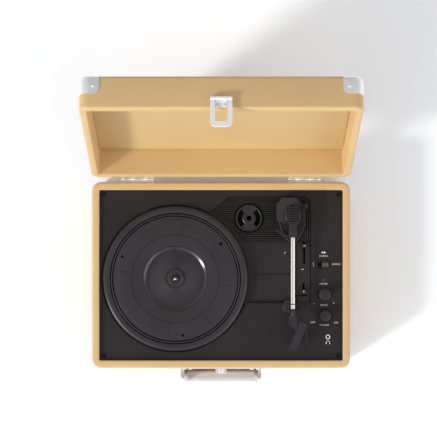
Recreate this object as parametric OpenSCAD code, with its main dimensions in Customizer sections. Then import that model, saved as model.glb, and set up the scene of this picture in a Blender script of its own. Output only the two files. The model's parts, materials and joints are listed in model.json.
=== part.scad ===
// Suitcase record player: a wrapped case with a hinged lid, a belt driven platter and a pivoted tone arm.
// The lid stands open at rest. X runs to the right, Y to the back and Z up from the floor.

/* [Case] */
// Outside width of the case
case_w = 356; // [350:1:400]
// Outside depth of the case
case_d = 257; // [254:1:290]
// Thickness of the side walls
wall = 10; // [8:0.5:11]
// Thickness of the front and back walls
end_wall = 11; // [9:0.5:12]
// Radius of the upright corners
corner_r = 12.5; // [11.5:0.5:16]
// Height of the base walls
base_h = 69; // [66:1:90]
// Height of the lid, from its rim to its top
lid_h = 44.8; // [42:0.2:60]
// Thickness of the lid's top panel
lid_panel_t = 6; // [3:0.1:7]
// Thickness of the bottom panel
bottom_t = 4; // [3:0.5:6]
// Width of the ledge that holds the top and bottom panels
rebate_w = 5; // [3:0.5:6]
// Gap between the lid's rim and the base's rim when the lid is shut
rim_gap = 0.6; // [0.4:0.1:2]
// Angle by which the lid stands open
lid_open = 108.3; // [95:0.1:115]
// Side of the square posts that carry the deck
block_w = 20; // [18:1:26]

/* [Feet] */
// Height of the rubber feet
foot_h = 7; // [5:0.5:15]
// Radius of a foot
foot_r = 9; // [7:0.5:12]
// Distance of a foot's centre from the side and front faces
foot_inset = 36; // [33:1:45]

/* [Corner caps] */
// Thickness of the steel corner caps
cap_t = 0.8; // [0.6:0.1:1.2]
// Reach of a cap along the front and back
cap_x = 25.5; // [22:0.5:34]
// Reach of a cap along the side
cap_y = 25.5; // [22:0.5:34]
// Reach of a cap up or down the corner
cap_z = 24.5; // [18:0.5:28]
// Radius of a rivet's head
rivet_head_r = 2.2; // [1.8:0.1:2.8]
// Radius of a rivet's shank
rivet_r = 1.2; // [0.8:0.1:1.5]
// Length of a rivet's shank
rivet_len = 6; // [4:0.5:7]

/* [Hinges] */
// Distance of a hinge's middle from the side of the case
hinge_x = 63; // [53:1:83]
// Length of a hinge
hinge_len = 44; // [36:1:60]
// Height of a hinge leaf on its wall
leaf_h = 22; // [18:1:26]
// Thickness of a hinge leaf
leaf_t = 1.2; // [0.8:0.1:1.4]
// Distance of the hinge axis behind the back wall
hinge_out = 4.2; // [4.2:0.1:8]
// Radius of a hinge knuckle
knuckle_r = 2.6; // [2.4:0.1:2.6]
// Length of the middle knuckle of a hinge
hinge_mid = 19; // [15:0.5:24]
// Radius of a hinge pin
hinge_pin_r = 1.3; // [1:0.1:1.4]

/* [Latch] */
// Width of the latch frame
latch_w = 27.4; // [25:0.2:36]
// Width of the latch frame's window
latch_window = 15.8; // [15:0.2:17]
// Height of the latch pivot above the lid's rim
latch_pivot_h = 12.2; // [11:0.2:16]
// Reach of the latch frame below the lid's rim
latch_drop = 25.7; // [24:0.1:28]
// Height of the bar at the free end of the latch frame
latch_bar = 7; // [5:0.5:8]
// Thickness of the latch frame
latch_t = 2.4; // [1.8:0.1:3]
// Distance of the latch pivot in front of the lid
latch_out = 3.2; // [3.1:0.1:5]
// Radius of the latch knuckles
latch_eye_r = 2.6; // [2.2:0.1:2.8]
// Radius of the latch pin
latch_pin_r = 1.2; // [0.8:0.1:1.4]
// Reach of the catch's nose in front of the base
catch_out = 7.3; // [6:0.1:9]
// Height of the catch
catch_h = 13; // [11:0.5:14]

/* [Handle] */
// Length of the handle
handle_len = 104; // [96:1:120]
// Depth of the handle, front to back
handle_d = 17.5; // [15:0.5:20]
// Length of the handle from its pivot to its lower edge
handle_drop = 24; // [22:0.5:30]
// Thickness of the handle's grip bar
grip_h = 11; // [9:0.5:13]
// Width of each handle arm
handle_arm = 6; // [5:0.5:16]
// Gap between the handle and the front wall
handle_gap = 4.75; // [2.5:0.25:6]
// Height of the handle's pivot above the bottom of the base
handle_z = 36.5; // [34:0.5:40]
// Thickness of a bracket's ear
ear_t = 3.5; // [2.5:0.5:5]
// Radius of a bracket's ear round the handle's pin
ear_r = 4.1; // [3.6:0.1:6]
// Radius of the handle pins
handle_pin_r = 2.5; // [2:0.1:3]

/* [Deck] */
// Depth of the deck's top below the base's rim
deck_drop = 5; // [3:0.5:8]
// Thickness of the deck plate
deck_t = 3; // [2.5:0.1:3.5]
// Depth of the well and the platter tray below the deck's top
well_depth = 4; // [3.5:0.25:6]
// Thickness of the well's floor
floor_t = 2.5; // [2:0.1:3]
// Thickness of the walls round the well and the tray
tray_wall = 2; // [1.5:0.1:2.2]
// Gap between the deck's edge and the case
deck_gap = 0.3; // [0.2:0.05:0.6]
// Distance of the well's right edge from the right inner wall
well_right = 44; // [40:0.5:46]
// Distance of the well's back edge from the back inner wall
well_back = 8.9; // [7.5:0.1:10]
// Distance of the well's front edge from the front inner wall
well_front = 79; // [73.5:0.5:81.5]
// Radius of the well's back right corner
well_r = 10; // [6:0.5:14]
// Distance of the deck screws from the inner side and front walls
deck_screw_inset = 6; // [5:0.5:8]
// Radius of a screw's head
screw_head_r = 2.8; // [2.2:0.1:3.2]
// Radius of a screw's shank
screw_r = 1.3; // [1:0.1:1.6]
// Thickness of a screw's head
screw_head_t = 1.4; // [1:0.1:1.8]
// Length of a screw's shank in what it holds to
screw_len = 7; // [5:0.5:8]

/* [Platter] */
// Distance of the platter's centre from the left inner wall
platter_x = 105; // [104:0.5:107]
// Place of the platter's centre, behind the middle of the case
platter_y = -4.6; // [-8:0.2:0]
// Radius of the platter
platter_r = 100; // [98:0.5:100.5]
// Height of the platter's top above the deck
platter_rise = 7; // [6.5:0.25:10]
// Thickness of the platter's plate
platter_t = 2.5; // [2:0.1:3]
// Radius of the dished middle
dish_r = 42.6; // [38:0.2:50]
// Depth of the dished middle
dish_depth = 2.6; // [1.5:0.1:3]
// Radius of the belt ring under the platter
belt_ring_r = 65; // [60:0.5:66]
// Radius of the spindle
spindle_r = 3.6; // [3.55:0.01:3.63]
// Height of the spindle's tip above the platter's top
spindle_rise = 12; // [9:0.5:15]
// Radius of the finger holes in the platter
finger_hole_r = 2; // [1.5:0.1:3]
// Distance of the finger holes from the spindle
finger_hole_ring = 79; // [76:0.5:81]
// Gap between the platter's edge and its tray
tray_gap = 2; // [1.5:0.1:2.5]

/* [Drive] */
// Distance of the motor's shaft from the spindle
motor_ring = 80; // [78:0.5:84]
// Direction of the motor from the spindle
motor_angle = 157; // [150:1:165]
// Radius of the motor's can
motor_r = 16; // [13:0.5:17]
// Length of the motor's can
motor_len = 22; // [18:1:30]
// Radius of the motor's pulley
pulley_r = 4.5; // [4:0.1:6]
// Radius of the motor's shaft
shaft_r = 1; // [0.8:0.1:1.5]
// Thickness of the belt
belt_t = 1; // [0.8:0.1:1.5]
// Width of the belt
belt_h = 4; // [3:0.5:4.5]

/* [Tone arm] */
// Distance of the arm's upright pivot from the right inner wall
arm_x = 69.7; // [69:0.1:71]
// Distance of the arm's upright pivot from the back inner wall
arm_y = 34.5; // [33.5:0.5:35.5]
// Height of the arm's tube above the deck's top
arm_rise = 21; // [19.5:0.5:24]
// Radius of the arm's tube
tube_r = 3; // [2.5:0.1:3.2]
// Distance of the tube's front end from the upright pivot
tube_reach = 128.6; // [125:0.2:132]
// Width of the ribbed arm neck
neck_w = 13.2; // [11:0.2:14]
// Length of the ribbed arm neck
neck_len = 23.6; // [20:0.2:25]
// Radius of the arm's level pivot pin
arm_pin_r = 1.5; // [1:0.1:2]
// Width of the headshell
shell_w = 11; // [9:0.5:13]
// Length of the headshell
shell_len = 39.8; // [36:0.2:44]
// Angle of the headshell from the arm's tube
shell_angle = 23; // [18:0.5:26]
// Distance of the stylus from the upright pivot
stylus_reach = 181; // [178:0.5:184]
// Height of the stylus tip above the platter's top
stylus_gap = 1.7; // [1.2:0.1:3]

/* [Controls] */
// Distance of the knobs from the right inner wall
knob_x = 24.8; // [22:0.1:27]
// Distance of the upper knob from the front inner wall
knob_upper_y = 91.4; // [87.5:0.1:95.5]
// Distance of the lower knob from the front inner wall
knob_lower_y = 61.7; // [57.5:0.1:65.5]
// Radius of a knob
knob_r = 8.5; // [7:0.1:10]
// Height of a knob
knob_h = 10.5; // [8:0.5:13]
// Radius of a knob's shaft
knob_shaft_r = 3; // [2:0.1:3.5]
// Radius of a pot's body
pot_r = 8; // [7:0.5:10]
// Length of a pot's body
pot_h = 7; // [6:0.5:9]
// Distance of the source switch from the right inner wall
switch_x = 26.6; // [24:0.1:28]
// Distance of the source switch from the front inner wall
switch_y = 131.9; // [129.5:0.1:135.5]
// Length of the source switch's window
switch_w = 16; // [14:0.5:18]
// Width of the source switch's window
switch_d = 10; // [8:0.5:12]
// Distance of the power lamp from the front inner wall
lamp_y = 110.8; // [108.5:0.1:114.5]
// Radius of the power lamp
lamp_r = 1.5; // [1:0.1:2.5]
// Distance of the headphone jack from the right inner wall
jack_x = 20.5; // [18:0.5:23]
// Distance of the headphone jack from the front inner wall
jack_y = 32.2; // [30.5:0.1:37.5]
// Radius of the headphone jack's bore
jack_r = 1.8; // [1.75:0.01:1.9]
// Radius of the headphone jack's bushing
bushing_r = 3; // [2.8:0.1:4]
// Distance of the lever strip's middle from the right inner wall
strip_x = 54; // [53.5:0.1:55]
// Width of the lever strip
strip_w = 18; // [16:0.5:19]
// Distance of the speed lever in front of the arm's upright pivot
speed_y = 42.5; // [41:0.1:45]
// Travel of the speed lever
speed_travel = 23; // [18:0.5:25]
// Distance of the auto-stop lever from the front inner wall
stop_y = 95; // [92.5:0.1:97.5]
// Travel of the auto-stop lever
stop_travel = 9; // [7:0.5:10]
// Place of the 45 rpm adapter, right of the middle between the platter and the arm's pivot
adapter_x = 20.95; // [19.5:0.05:24]
// Distance of the 45 rpm adapter from the back inner wall
adapter_y = 38.8; // [35.5:0.1:41.5]
// Radius of the 45 rpm adapter
adapter_r = 18.9; // [17:0.1:19.2]
// Thickness of the 45 rpm adapter
adapter_h = 5; // [4:0.5:6]

/* [Inside] */
// Radius of a speaker
speaker_r = 24; // [20:0.5:24.5]
// Depth of a speaker
speaker_d = 24; // [18:1:28]
// Distance of a speaker's centre from the side wall inside
speaker_x = 53; // [48:1:63]
// Number of sound slots in front of a speaker
slot_count = 5; // [3:1:6]
// Width of a sound slot
slot_h = 4; // [3:0.5:5]
// Length of the circuit board
board_w = 80; // [60:1:90]
// Width of the circuit board
board_d = 60; // [45:1:65]
// Place of the rear socket panel, to the right of the middle of the case
panel_x = 40; // [20:1:50]
// Width of the rear socket panel
panel_w = 70; // [66:1:80]
// Height of the rear socket panel
panel_h = 26; // [24:0.5:30]
// Radius of a line socket
socket_r = 4.15; // [4.1:0.01:4.2]

/* [Hidden] */
$fn = 64;

// Colours
tan_wrap = [0.86, 0.72, 0.53];
black_plastic = [0.17, 0.16, 0.16];
dark_plastic = [0.22, 0.21, 0.23];
nickel = [0.80, 0.80, 0.79];
pale_grip = [0.82, 0.81, 0.80];
rubber = [0.12, 0.12, 0.12];
pine = [0.78, 0.64, 0.44];
board_green = [0.12, 0.36, 0.20];

// Clearances
over = 1;
seat_gap = 0.05;
run_gap = 0.05;
move_gap = 0.3;
fit_gap = 0.2;

// Levels, measured up from the floor
base_top = foot_h + base_h;
bottom_top = foot_h + bottom_t;
lid_z = base_top + rim_gap;
lid_top = lid_z + lid_h;
hinge_z = base_top + rim_gap / 2;
hinge_y = case_d / 2 + hinge_out;
deck_z = base_top - deck_drop;
deck_under = deck_z - deck_t;
floor_z = deck_z - well_depth;
floor_under = floor_z - floor_t;
platter_z = deck_z + platter_rise;
arm_z = deck_z + arm_rise;

// Inner size of the case
inner_w = case_w - 2 * wall;
inner_d = case_d - 2 * end_wall;
inner_r = max(corner_r - wall, 1);
rebate_r = max(corner_r - rebate_w, 1);

// Places in the case, measured from its middle
left_in = -inner_w / 2;
right_in = inner_w / 2;
front_in = -inner_d / 2;
back_in = inner_d / 2;
hinge_cx = case_w / 2 - hinge_x;
speaker_cx = right_in - speaker_x;
platter_cx = left_in + platter_x;
arm_cx = right_in - arm_x;
arm_cy = back_in - arm_y;
well_right_x = right_in - well_right;
well_back_y = back_in - well_back;
well_front_y = front_in + well_front;
knob_cx = right_in - knob_x;
knob_upper_cy = front_in + knob_upper_y;
knob_lower_cy = front_in + knob_lower_y;
switch_cx = right_in - switch_x;
switch_cy = front_in + switch_y;
lamp_cy = front_in + lamp_y;
jack_cx = right_in - jack_x;
jack_cy = front_in + jack_y;
strip_cx = right_in - strip_x;
speed_cy = arm_cy - speed_y;
stop_cy = front_in + stop_y;
adapter_cx = (platter_cx + arm_cx) / 2 + adapter_x;
adapter_cy = back_in - adapter_y;

// The part stands with the middle of its outer box over the origin
front_reach = case_d / 2 + handle_gap + handle_d;
back_reach = hinge_y + (case_d + hinge_out) * -cos(lid_open) + (lid_h + rim_gap / 2) * sin(lid_open);
shift_y = (front_reach - back_reach) / 2;

// Outline of a rectangle with round corners
module round_rect(w, d, r) {
    square([w - 2 * r, d], center = true);
    square([w, d - 2 * r], center = true);
    for (x = [-1, 1], y = [-1, 1])
        translate([x * (w / 2 - r), y * (d / 2 - r)]) circle(r);
}

// Block with round upright corners, standing on its underside
module round_box(w, d, h, r) {
    linear_extrude(h) round_rect(w, d, r);
}

// Block between two corners
module span_box(low, high) {
    translate(low) cube(high - low);
}

// Cylinder along X, centred on a point
module rod_x(r, length) {
    rotate([0, 90, 0]) cylinder(r = r, h = length, center = true);
}

// Cylinder that points along +Y from its foot
module rod_y(r, length) {
    rotate([-90, 0, 0]) cylinder(r = r, h = length);
}

// Screw with a flat round head: the head stands up from the origin and the shank goes down
module screw(length) {
    cylinder(r = screw_head_r, h = screw_head_t);
    translate([0, 0, -length]) cylinder(r = screw_r, h = length + screw_head_t / 2);
}

// Space for a screw's shank
module screw_hole(length) {
    translate([0, 0, -length - seat_gap]) cylinder(r = screw_r + seat_gap, h = length + over);
}

// Rivet with a domed head: the head stands up from the origin and the shank goes down
module rivet() {
    rise = rivet_head_r / 2;
    rotate_extrude() intersection() {
        translate([0, rise - (rivet_head_r * rivet_head_r + rise * rise) / (2 * rise)])
            circle((rivet_head_r * rivet_head_r + rise * rise) / (2 * rise));
        square([rivet_head_r, rise]);
    }
    translate([0, 0, -rivet_len]) cylinder(r = rivet_r, h = rivet_len + rise / 4);
}

// Space for a rivet's shank
module rivet_hole() {
    translate([0, 0, -rivet_len - seat_gap]) cylinder(r = rivet_r + seat_gap, h = rivet_len + over);
}

// Everything on the lid is drawn shut and then turned about the hinge axis
module opened() {
    translate([0, hinge_y, hinge_z])
        rotate([-lid_open, 0, 0])
            translate([0, -hinge_y, -hinge_z])
                children();
}

// Moves the case, drawn about its own middle, to stand over the origin
module place() {
    translate([0, shift_y, 0]) children();
}

// Turns children that point up so that they point out of the front, the back or a side
module face_front() { rotate([90, 0, 0]) children(); }
module face_back() { rotate([-90, 0, 0]) children(); }
module face_side(s) { rotate([0, s * 90, 0]) children(); }

// Places of the four corners, as signs
corners = [for (x = [-1, 1], y = [-1, 1]) [x, y]];

// Rivet places of the caps at one level: one on the front or back and one on the side of each corner
module cap_rivet_places(z) {
    for (c = corners) {
        translate([c[0] * (case_w / 2 - cap_x * 0.7), c[1] * (case_d / 2 + cap_t), z])
            rotate([-c[1] * 90, 0, 0]) children();
        translate([c[0] * (case_w / 2 + cap_t), c[1] * (case_d / 2 - cap_y * 0.7), z])
            face_side(c[0]) children();
    }
}

// Caps on the four corners of a box that spans two levels, open on one side
module corner_caps(low, high, closed_top) {
    z0 = closed_top ? high - cap_z : low - cap_t;
    z1 = closed_top ? high + cap_t : low + cap_z;
    for (c = corners) difference() {
        intersection() {
            translate([0, 0, z0])
                round_box(case_w + 2 * cap_t, case_d + 2 * cap_t, z1 - z0, corner_r + cap_t);
            translate([c[0] * (case_w - cap_x) / 2, c[1] * (case_d - cap_y) / 2, (z0 + z1) / 2])
                cube([cap_x + 2 * cap_t, cap_y + 2 * cap_t, z1 - z0], center = true);
        }
        translate([0, 0, closed_top ? z0 - over : low])
            round_box(case_w, case_d, closed_top ? high - z0 + over : cap_z + over, corner_r);
    }
}

// Case base

foot_places = [for (c = corners) [c[0] * (case_w / 2 - foot_inset), c[1] * (case_d / 2 - foot_inset), 0]];
deck_screw_places = [for (c = corners)
    [c[0] * (inner_w / 2 - deck_screw_inset), c[1] * (inner_d / 2 - deck_screw_inset), deck_z]];
speaker_z = (bottom_top + floor_under) / 2;
slot_pitch = 2 * slot_h;
slot_w = 1.4 * speaker_r;
panel_z = bottom_top + panel_h;
panel_t = 2;
panel_y = back_in - panel_t;
panel_lip = 6;
cap_rivet_base = foot_h + 0.6 * cap_z;
cap_rivet_lid = lid_top - 0.6 * cap_z;
foot_web = 3;
foot_shank = foot_web + bottom_t - 0.5;

// Hinge screw places on one leaf; side is -1 on the base and 1 on the lid
module hinge_screw_places(side) {
    for (s = [-1, 1], k = [-1, 1])
        translate([s * hinge_cx + k * hinge_len * 0.3, case_d / 2 + leaf_t, hinge_z + side * leaf_h * 0.62])
            face_back() children();
}

// Screw places on the handle's brackets
bracket_t = 1.5;
bracket_edge = 1;
bracket_w = 18;
grip_inner = handle_len / 2 - handle_arm;
bracket_outer = handle_len / 2 + move_gap + ear_t;
bracket_inner = bracket_outer - bracket_w;
pivot_y = -case_d / 2 - handle_gap - handle_d / 2;
pivot_z = foot_h + handle_z;
bracket_screw_z = pivot_z + handle_d / 2 + screw_head_r + 1.5;
module bracket_screw_places() {
    for (s = [-1, 1], k = [0.25, 0.75])
        translate([s * (bracket_inner + k * (bracket_outer - bracket_inner)), -case_d / 2 - bracket_t,
                   bracket_screw_z])
            face_front() children();
}

// Screw places at both ends of the socket panel, inside the back wall
module panel_screw_places() {
    for (s = [-1, 1])
        translate([panel_x + s * (panel_w - panel_lip) / 2, panel_y, panel_z])
            face_front() children();
}

// Rivet places on the latch's catch
catch_w = latch_window - 1;
catch_z = lid_z - latch_drop + latch_bar + 2 * move_gap;
catch_t = 1.2;
module catch_rivet_places() {
    for (s = [-1, 1])
        translate([s * catch_w * 0.28, -case_d / 2 - catch_t, catch_z + rivet_head_r + 0.2])
            face_front() children();
}

// Four walls with rebates for the bottom, sound slots at the front and a socket opening at the back
module base_frame() {
    color(tan_wrap) difference() {
        translate([0, 0, foot_h]) round_box(case_w, case_d, base_h, corner_r);
        translate([0, 0, foot_h - over]) round_box(inner_w, inner_d, base_h + 2 * over, inner_r);
        translate([0, 0, foot_h - over])
            round_box(case_w - 2 * rebate_w, case_d - 2 * rebate_w, bottom_t + over, rebate_r);
        for (s = [-1, 1], i = [0 : slot_count - 1])
            translate([s * speaker_cx, (front_in - case_d / 2) / 2,
                       speaker_z + (i - (slot_count - 1) / 2) * slot_pitch])
                cube([slot_w, end_wall + 2 * over, slot_h], center = true);
        translate([panel_x, (back_in + case_d / 2) / 2, panel_z])
            cube([panel_w - 2 * panel_lip, end_wall + 2 * over, panel_h - panel_lip], center = true);
        cap_rivet_places(cap_rivet_base) rivet_hole();
        catch_rivet_places() rivet_hole();
        hinge_screw_places(-1) screw_hole(leaf_t + screw_len);
        bracket_screw_places() screw_hole(bracket_t + screw_len);
        panel_screw_places() screw_hole(panel_t + screw_len);
    }
}

// Panel that closes the base from below
module base_bottom() {
    color(tan_wrap) difference() {
        translate([0, 0, foot_h])
            round_box(case_w - 2 * (rebate_w + fit_gap), case_d - 2 * (rebate_w + fit_gap), bottom_t,
                      rebate_r - fit_gap / 2);
        for (p = foot_places)
            translate(p) translate([0, 0, foot_h - over])
                cylinder(r = screw_r + seat_gap, h = bottom_t + 2 * over);
        for (p = post_places)
            translate([p[0], p[1], foot_h + peg_skin])
                cylinder(r = post_peg_r + seat_gap, h = bottom_t + over);
    }
}

// Posts in the corners that carry the deck
module corner_blocks() {
    color(pine) for (c = corners) difference() {
        translate([c[0] * (inner_w - block_w) / 2 - c[0] * fit_gap,
                   c[1] * (inner_d - block_w) / 2 - c[1] * fit_gap, bottom_top])
            round_box(block_w, block_w, deck_under - bottom_top, inner_r);
        for (p = deck_screw_places) translate(p) screw_hole(deck_t + screw_len);
    }
}

// Rubber feet with a recess for the screw's head
module feet() {
    color(rubber) for (p = foot_places) translate(p) difference() {
        rotate_extrude() polygon([
            [0, 0], [foot_r - 1.5, 0], [foot_r - 0.5, 1], [foot_r, foot_h], [0, foot_h]]);
        translate([0, 0, -over]) cylinder(r = screw_head_r + 0.6, h = foot_h - foot_web + over);
        cylinder(r = screw_r + seat_gap, h = foot_h + over);
    }
}

// Steel caps on the lower corners
module base_corner_caps() {
    color(nickel) difference() {
        corner_caps(foot_h, base_top, false);
        cap_rivet_places(cap_rivet_base) rivet_hole();
    }
}

// Rivets of the lower caps and the catch
module base_rivets() {
    color(nickel) {
        cap_rivet_places(cap_rivet_base) rivet();
        catch_rivet_places() rivet();
    }
}

// Screws of the feet, hinges, handle brackets and socket panel
module base_screws() {
    color(nickel) {
        for (p = foot_places)
            translate(p) translate([0, 0, foot_h - foot_web]) rotate([180, 0, 0]) screw(foot_shank);
        hinge_screw_places(-1) screw(leaf_t + screw_len);
        bracket_screw_places() screw(bracket_t + screw_len);
        panel_screw_places() screw(panel_t + screw_len);
    }
}

// Hinges

leaf_edge = 1;
knuckle_gap = 0.3;
knuckle_end = (hinge_len - hinge_mid) / 2;

// One hinge leaf below the axis, with its knuckles at the given places along X
module hinge_leaf(places) {
    difference() {
        union() {
            span_box([-hinge_len / 2, case_d / 2, hinge_z - leaf_h],
                     [hinge_len / 2, case_d / 2 + leaf_t, hinge_z - leaf_edge]);
            for (p = places) {
                translate([p[0], hinge_y, hinge_z]) rod_x(knuckle_r, p[1]);
                span_box([p[0] - p[1] / 2, case_d / 2, hinge_z - knuckle_r],
                         [p[0] + p[1] / 2, hinge_y, hinge_z - knuckle_r + leaf_t]);
            }
        }
        translate([0, hinge_y, hinge_z]) rod_x(hinge_pin_r + run_gap, hinge_len + 2 * over);
    }
}

// Leaves on the back wall, each with the middle knuckle
module hinge_base_leaves() {
    color(nickel) difference() {
        for (s = [-1, 1]) translate([s * hinge_cx, 0, 0]) hinge_leaf([[0, hinge_mid - 2 * knuckle_gap]]);
        hinge_screw_places(-1) screw_hole(leaf_t + screw_len);
    }
}

// Leaves on the lid, each with the two outer knuckles
module hinge_lid_leaves() {
    side = (hinge_len - knuckle_end) / 2;
    color(nickel) opened() difference() {
        for (s = [-1, 1]) translate([s * hinge_cx, 0, 2 * hinge_z]) mirror([0, 0, 1])
            hinge_leaf([[-side, knuckle_end], [side, knuckle_end]]);
        hinge_screw_places(1) screw_hole(leaf_t + screw_len);
    }
}

// Pins through the hinges' knuckles
module hinge_pins() {
    color(nickel) for (s = [-1, 1]) translate([s * hinge_cx, hinge_y, hinge_z]) rod_x(hinge_pin_r, hinge_len);
}

// Catch on the front wall: a plate with a notched nose
module latch_catch() {
    nose_low = catch_z + 2 * rivet_head_r + 0.6;
    color(nickel) difference() {
        union() {
            span_box([-catch_w / 2, -case_d / 2 - catch_t, catch_z],
                     [catch_w / 2, -case_d / 2, catch_z + catch_h]);
            span_box([-catch_w / 2, -case_d / 2 - catch_out, nose_low],
                     [catch_w / 2, -case_d / 2, catch_z + catch_h - 1]);
        }
        translate([0, -case_d / 2 - catch_t, catch_z + catch_h])
            rotate([90, 0, 0]) linear_extrude(catch_out)
                polygon([[-catch_w * 0.35, over], [catch_w * 0.35, over], [0, -catch_h * 0.3]]);
        catch_rivet_places() rivet_hole();
    }
}

// Handle

// Brackets on the front wall, each with one ear
module handle_brackets() {
    color(nickel) difference() {
        for (s = [-1, 1]) {
            span_box([min(s * bracket_inner, s * bracket_outer), -case_d / 2 - bracket_t,
                      pivot_z - handle_d / 2],
                     [max(s * bracket_inner, s * bracket_outer), -case_d / 2,
                      bracket_screw_z + screw_head_r + bracket_edge]);
            translate([s * (bracket_outer - ear_t / 2), pivot_y, pivot_z])
                rod_x(ear_r, ear_t);
            span_box([min(s * bracket_outer, s * (bracket_outer - ear_t)), pivot_y, pivot_z - ear_r],
                     [max(s * bracket_outer, s * (bracket_outer - ear_t)), -case_d / 2, pivot_z + ear_r]);
        }
        translate([0, pivot_y, pivot_z]) rod_x(handle_pin_r + seat_gap, 2 * bracket_outer + 2 * over);
        bracket_screw_places() screw_hole(bracket_t + screw_len);
    }
}

// Pins that carry the handle
module handle_pins() {
    pin_in = grip_inner + 1;
    pin_out = bracket_outer + 0.8;
    color(nickel) for (s = [-1, 1]) {
        translate([s * (pin_in + pin_out) / 2, pivot_y, pivot_z]) rod_x(handle_pin_r, pin_out - pin_in);
        translate([s * (bracket_outer + 0.4), pivot_y, pivot_z]) rod_x(handle_pin_r + 1, 0.8);
    }
}

// Handle: a round edged grip bar on two narrower arms, hanging from its pins
module handle_grip() {
    grip_r = grip_h / 2;
    arm_inset = 1.5;
    arm_r = handle_d / 2 - arm_inset;
    end_step = 0.5;
    corner_cut = 3.2 * sqrt(2);
    color(pale_grip) difference() {
        translate([0, pivot_y, pivot_z]) rotate([90, 0, 90]) {
            translate([0, grip_r - handle_drop, -handle_len / 2]) linear_extrude(handle_len) {
                square([handle_d - grip_h, grip_h], center = true);
                for (s = [-1, 1]) translate([s * (handle_d / 2 - grip_r), 0]) circle(grip_r);
            }
            for (x = [end_step - handle_len / 2, grip_inner])
                translate([0, 0, x]) linear_extrude(handle_arm - end_step) {
                    circle(arm_r);
                    translate([-arm_r, grip_r - handle_drop]) square([2 * arm_r, handle_drop - grip_r]);
                }
        }
        for (s = [-1, 1])
            translate([s * handle_len / 2, pivot_y - handle_d / 2, pivot_z]) rotate(45)
                cube([corner_cut, corner_cut, 3 * handle_drop], center = true);
        translate([0, pivot_y, pivot_z]) rod_x(handle_pin_r + run_gap, handle_len + 2 * over);
    }
}

// Deck, platter and drive

tray_r = platter_r + tray_gap;
cup_gap = 1.2;
cup_r = adapter_r + cup_gap;
cup_depth = 3;
strip_t = 2.5;
strip_z = floor_z + strip_t;
strip_lap = 5.5;
strip_back = speed_cy + strip_lap;
speed_side = 0.9;
stop_side = 0.2;
speed_x = strip_cx + speed_side;
stop_x = strip_cx + stop_side;
slot_wide = 2.6;
stem_half = 2;
lift_r = 30;
lift_angle = -112.5;
lift_post_r = 2.5;
lift_boss_h = 6;
lift_boss_t = 2;
lift_x = arm_cx + lift_r * cos(lift_angle);
lift_y = arm_cy + lift_r * sin(lift_angle);
motor_x = platter_cx + motor_ring * cos(motor_angle);
motor_y = platter_y + motor_ring * sin(motor_angle);
motor_screw_ring = motor_r * 0.6;
motor_screw_len = 4;

// Places of the two screws that hold the motor
module motor_screw_places() {
    for (s = [-1, 1])
        translate([motor_x + s * motor_screw_ring, motor_y, floor_z]) children();
}

// The well's slanted back left edge and its lap under the platter, from the platter's centre
slope_x0 = 46;
slope_y0 = 90.6;
slope_x1 = 74;
well_lap = 60;

// Outline of the well beside the platter, grown by a margin; its left part runs under the platter
module well_shape(m) {
    r = well_r + m;
    right = well_right_x + m;
    back = well_back_y + m;
    polygon([
        [platter_cx + slope_x0 - m, platter_y + slope_y0 + 0.8 * m], [platter_cx + slope_x1 - 0.4 * m, back],
        [right - r, back], [right, back - r], [right, well_front_y - m],
        [platter_cx + well_lap, well_front_y - m]]);
    translate([right - r, back - r]) circle(r);
}

// Slot for the stem of a lever that slides along Y
module lever_slot(x, y, low, high) {
    span_box([x - slot_wide / 2, y + low - stem_half - move_gap, floor_under - over],
             [x + slot_wide / 2, y + high + stem_half + move_gap, strip_z + over]);
}

// Black deck plate with the platter's tray, the well, the adapter's cup and the lever strip
module deck() {
    color(black_plastic) difference() {
        union() {
            difference() {
                union() {
                    translate([0, 0, deck_under])
                        round_box(inner_w - 2 * deck_gap, inner_d - 2 * deck_gap, deck_t, inner_r);
                    translate([platter_cx, platter_y, floor_under])
                        cylinder(r = tray_r + tray_wall, h = deck_z - floor_under - deck_t / 2);
                    translate([0, 0, floor_under])
                        linear_extrude(deck_z - floor_under - deck_t / 2) well_shape(tray_wall);
                    translate([adapter_cx, adapter_cy, floor_under - cup_depth])
                        cylinder(r = cup_r + tray_wall, h = cup_depth + floor_t / 2);
                }
                translate([platter_cx, platter_y, floor_z]) cylinder(r = tray_r, h = well_depth + over);
                translate([0, 0, floor_z]) linear_extrude(well_depth + over) well_shape(0);
                translate([adapter_cx, adapter_cy, floor_z - cup_depth])
                    cylinder(r = cup_r, h = cup_depth + over);
            }
            span_box([strip_cx - strip_w / 2, well_front_y - tray_wall / 2, floor_z - floor_t / 2],
                     [strip_cx + strip_w / 2, strip_back, strip_z]);
            translate([lift_x, lift_y, floor_z - floor_t / 2])
                cylinder(r = lift_post_r + lift_boss_t, h = lift_boss_h + floor_t / 2);
        }
        for (p = deck_screw_places) translate(p) screw_hole(deck_t + over);
        motor_screw_places() screw_hole(floor_t + over);
        translate([platter_cx, platter_y, floor_under - over])
            cylinder(r = spindle_r + seat_gap, h = floor_t + 2 * over);
        translate([motor_x, motor_y, floor_under - over]) cylinder(r = shaft_r + 1, h = floor_t + 2 * over);
        translate([lift_x, lift_y, floor_under - over])
            cylinder(r = lift_post_r + run_gap, h = floor_t + lift_boss_h + 2 * over);
        for (y = [knob_upper_cy, knob_lower_cy])
            translate([knob_cx, y, deck_under - over])
                cylinder(r = knob_shaft_r + move_gap, h = deck_t + 2 * over);
        translate([switch_cx, switch_cy, deck_z - deck_t / 2])
            cube([switch_w, switch_d, deck_t + 2 * over], center = true);
        translate([switch_cx, lamp_cy, deck_under - over])
            cylinder(r = lamp_r + seat_gap, h = deck_t + 2 * over);
        translate([jack_cx, jack_cy, deck_under - over])
            cylinder(r = bushing_r + seat_gap, h = deck_t + 2 * over);
        lever_slot(speed_x, speed_cy, -speed_travel, 0);
        lever_slot(stop_x, stop_cy, 0, stop_travel);
    }
}

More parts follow.
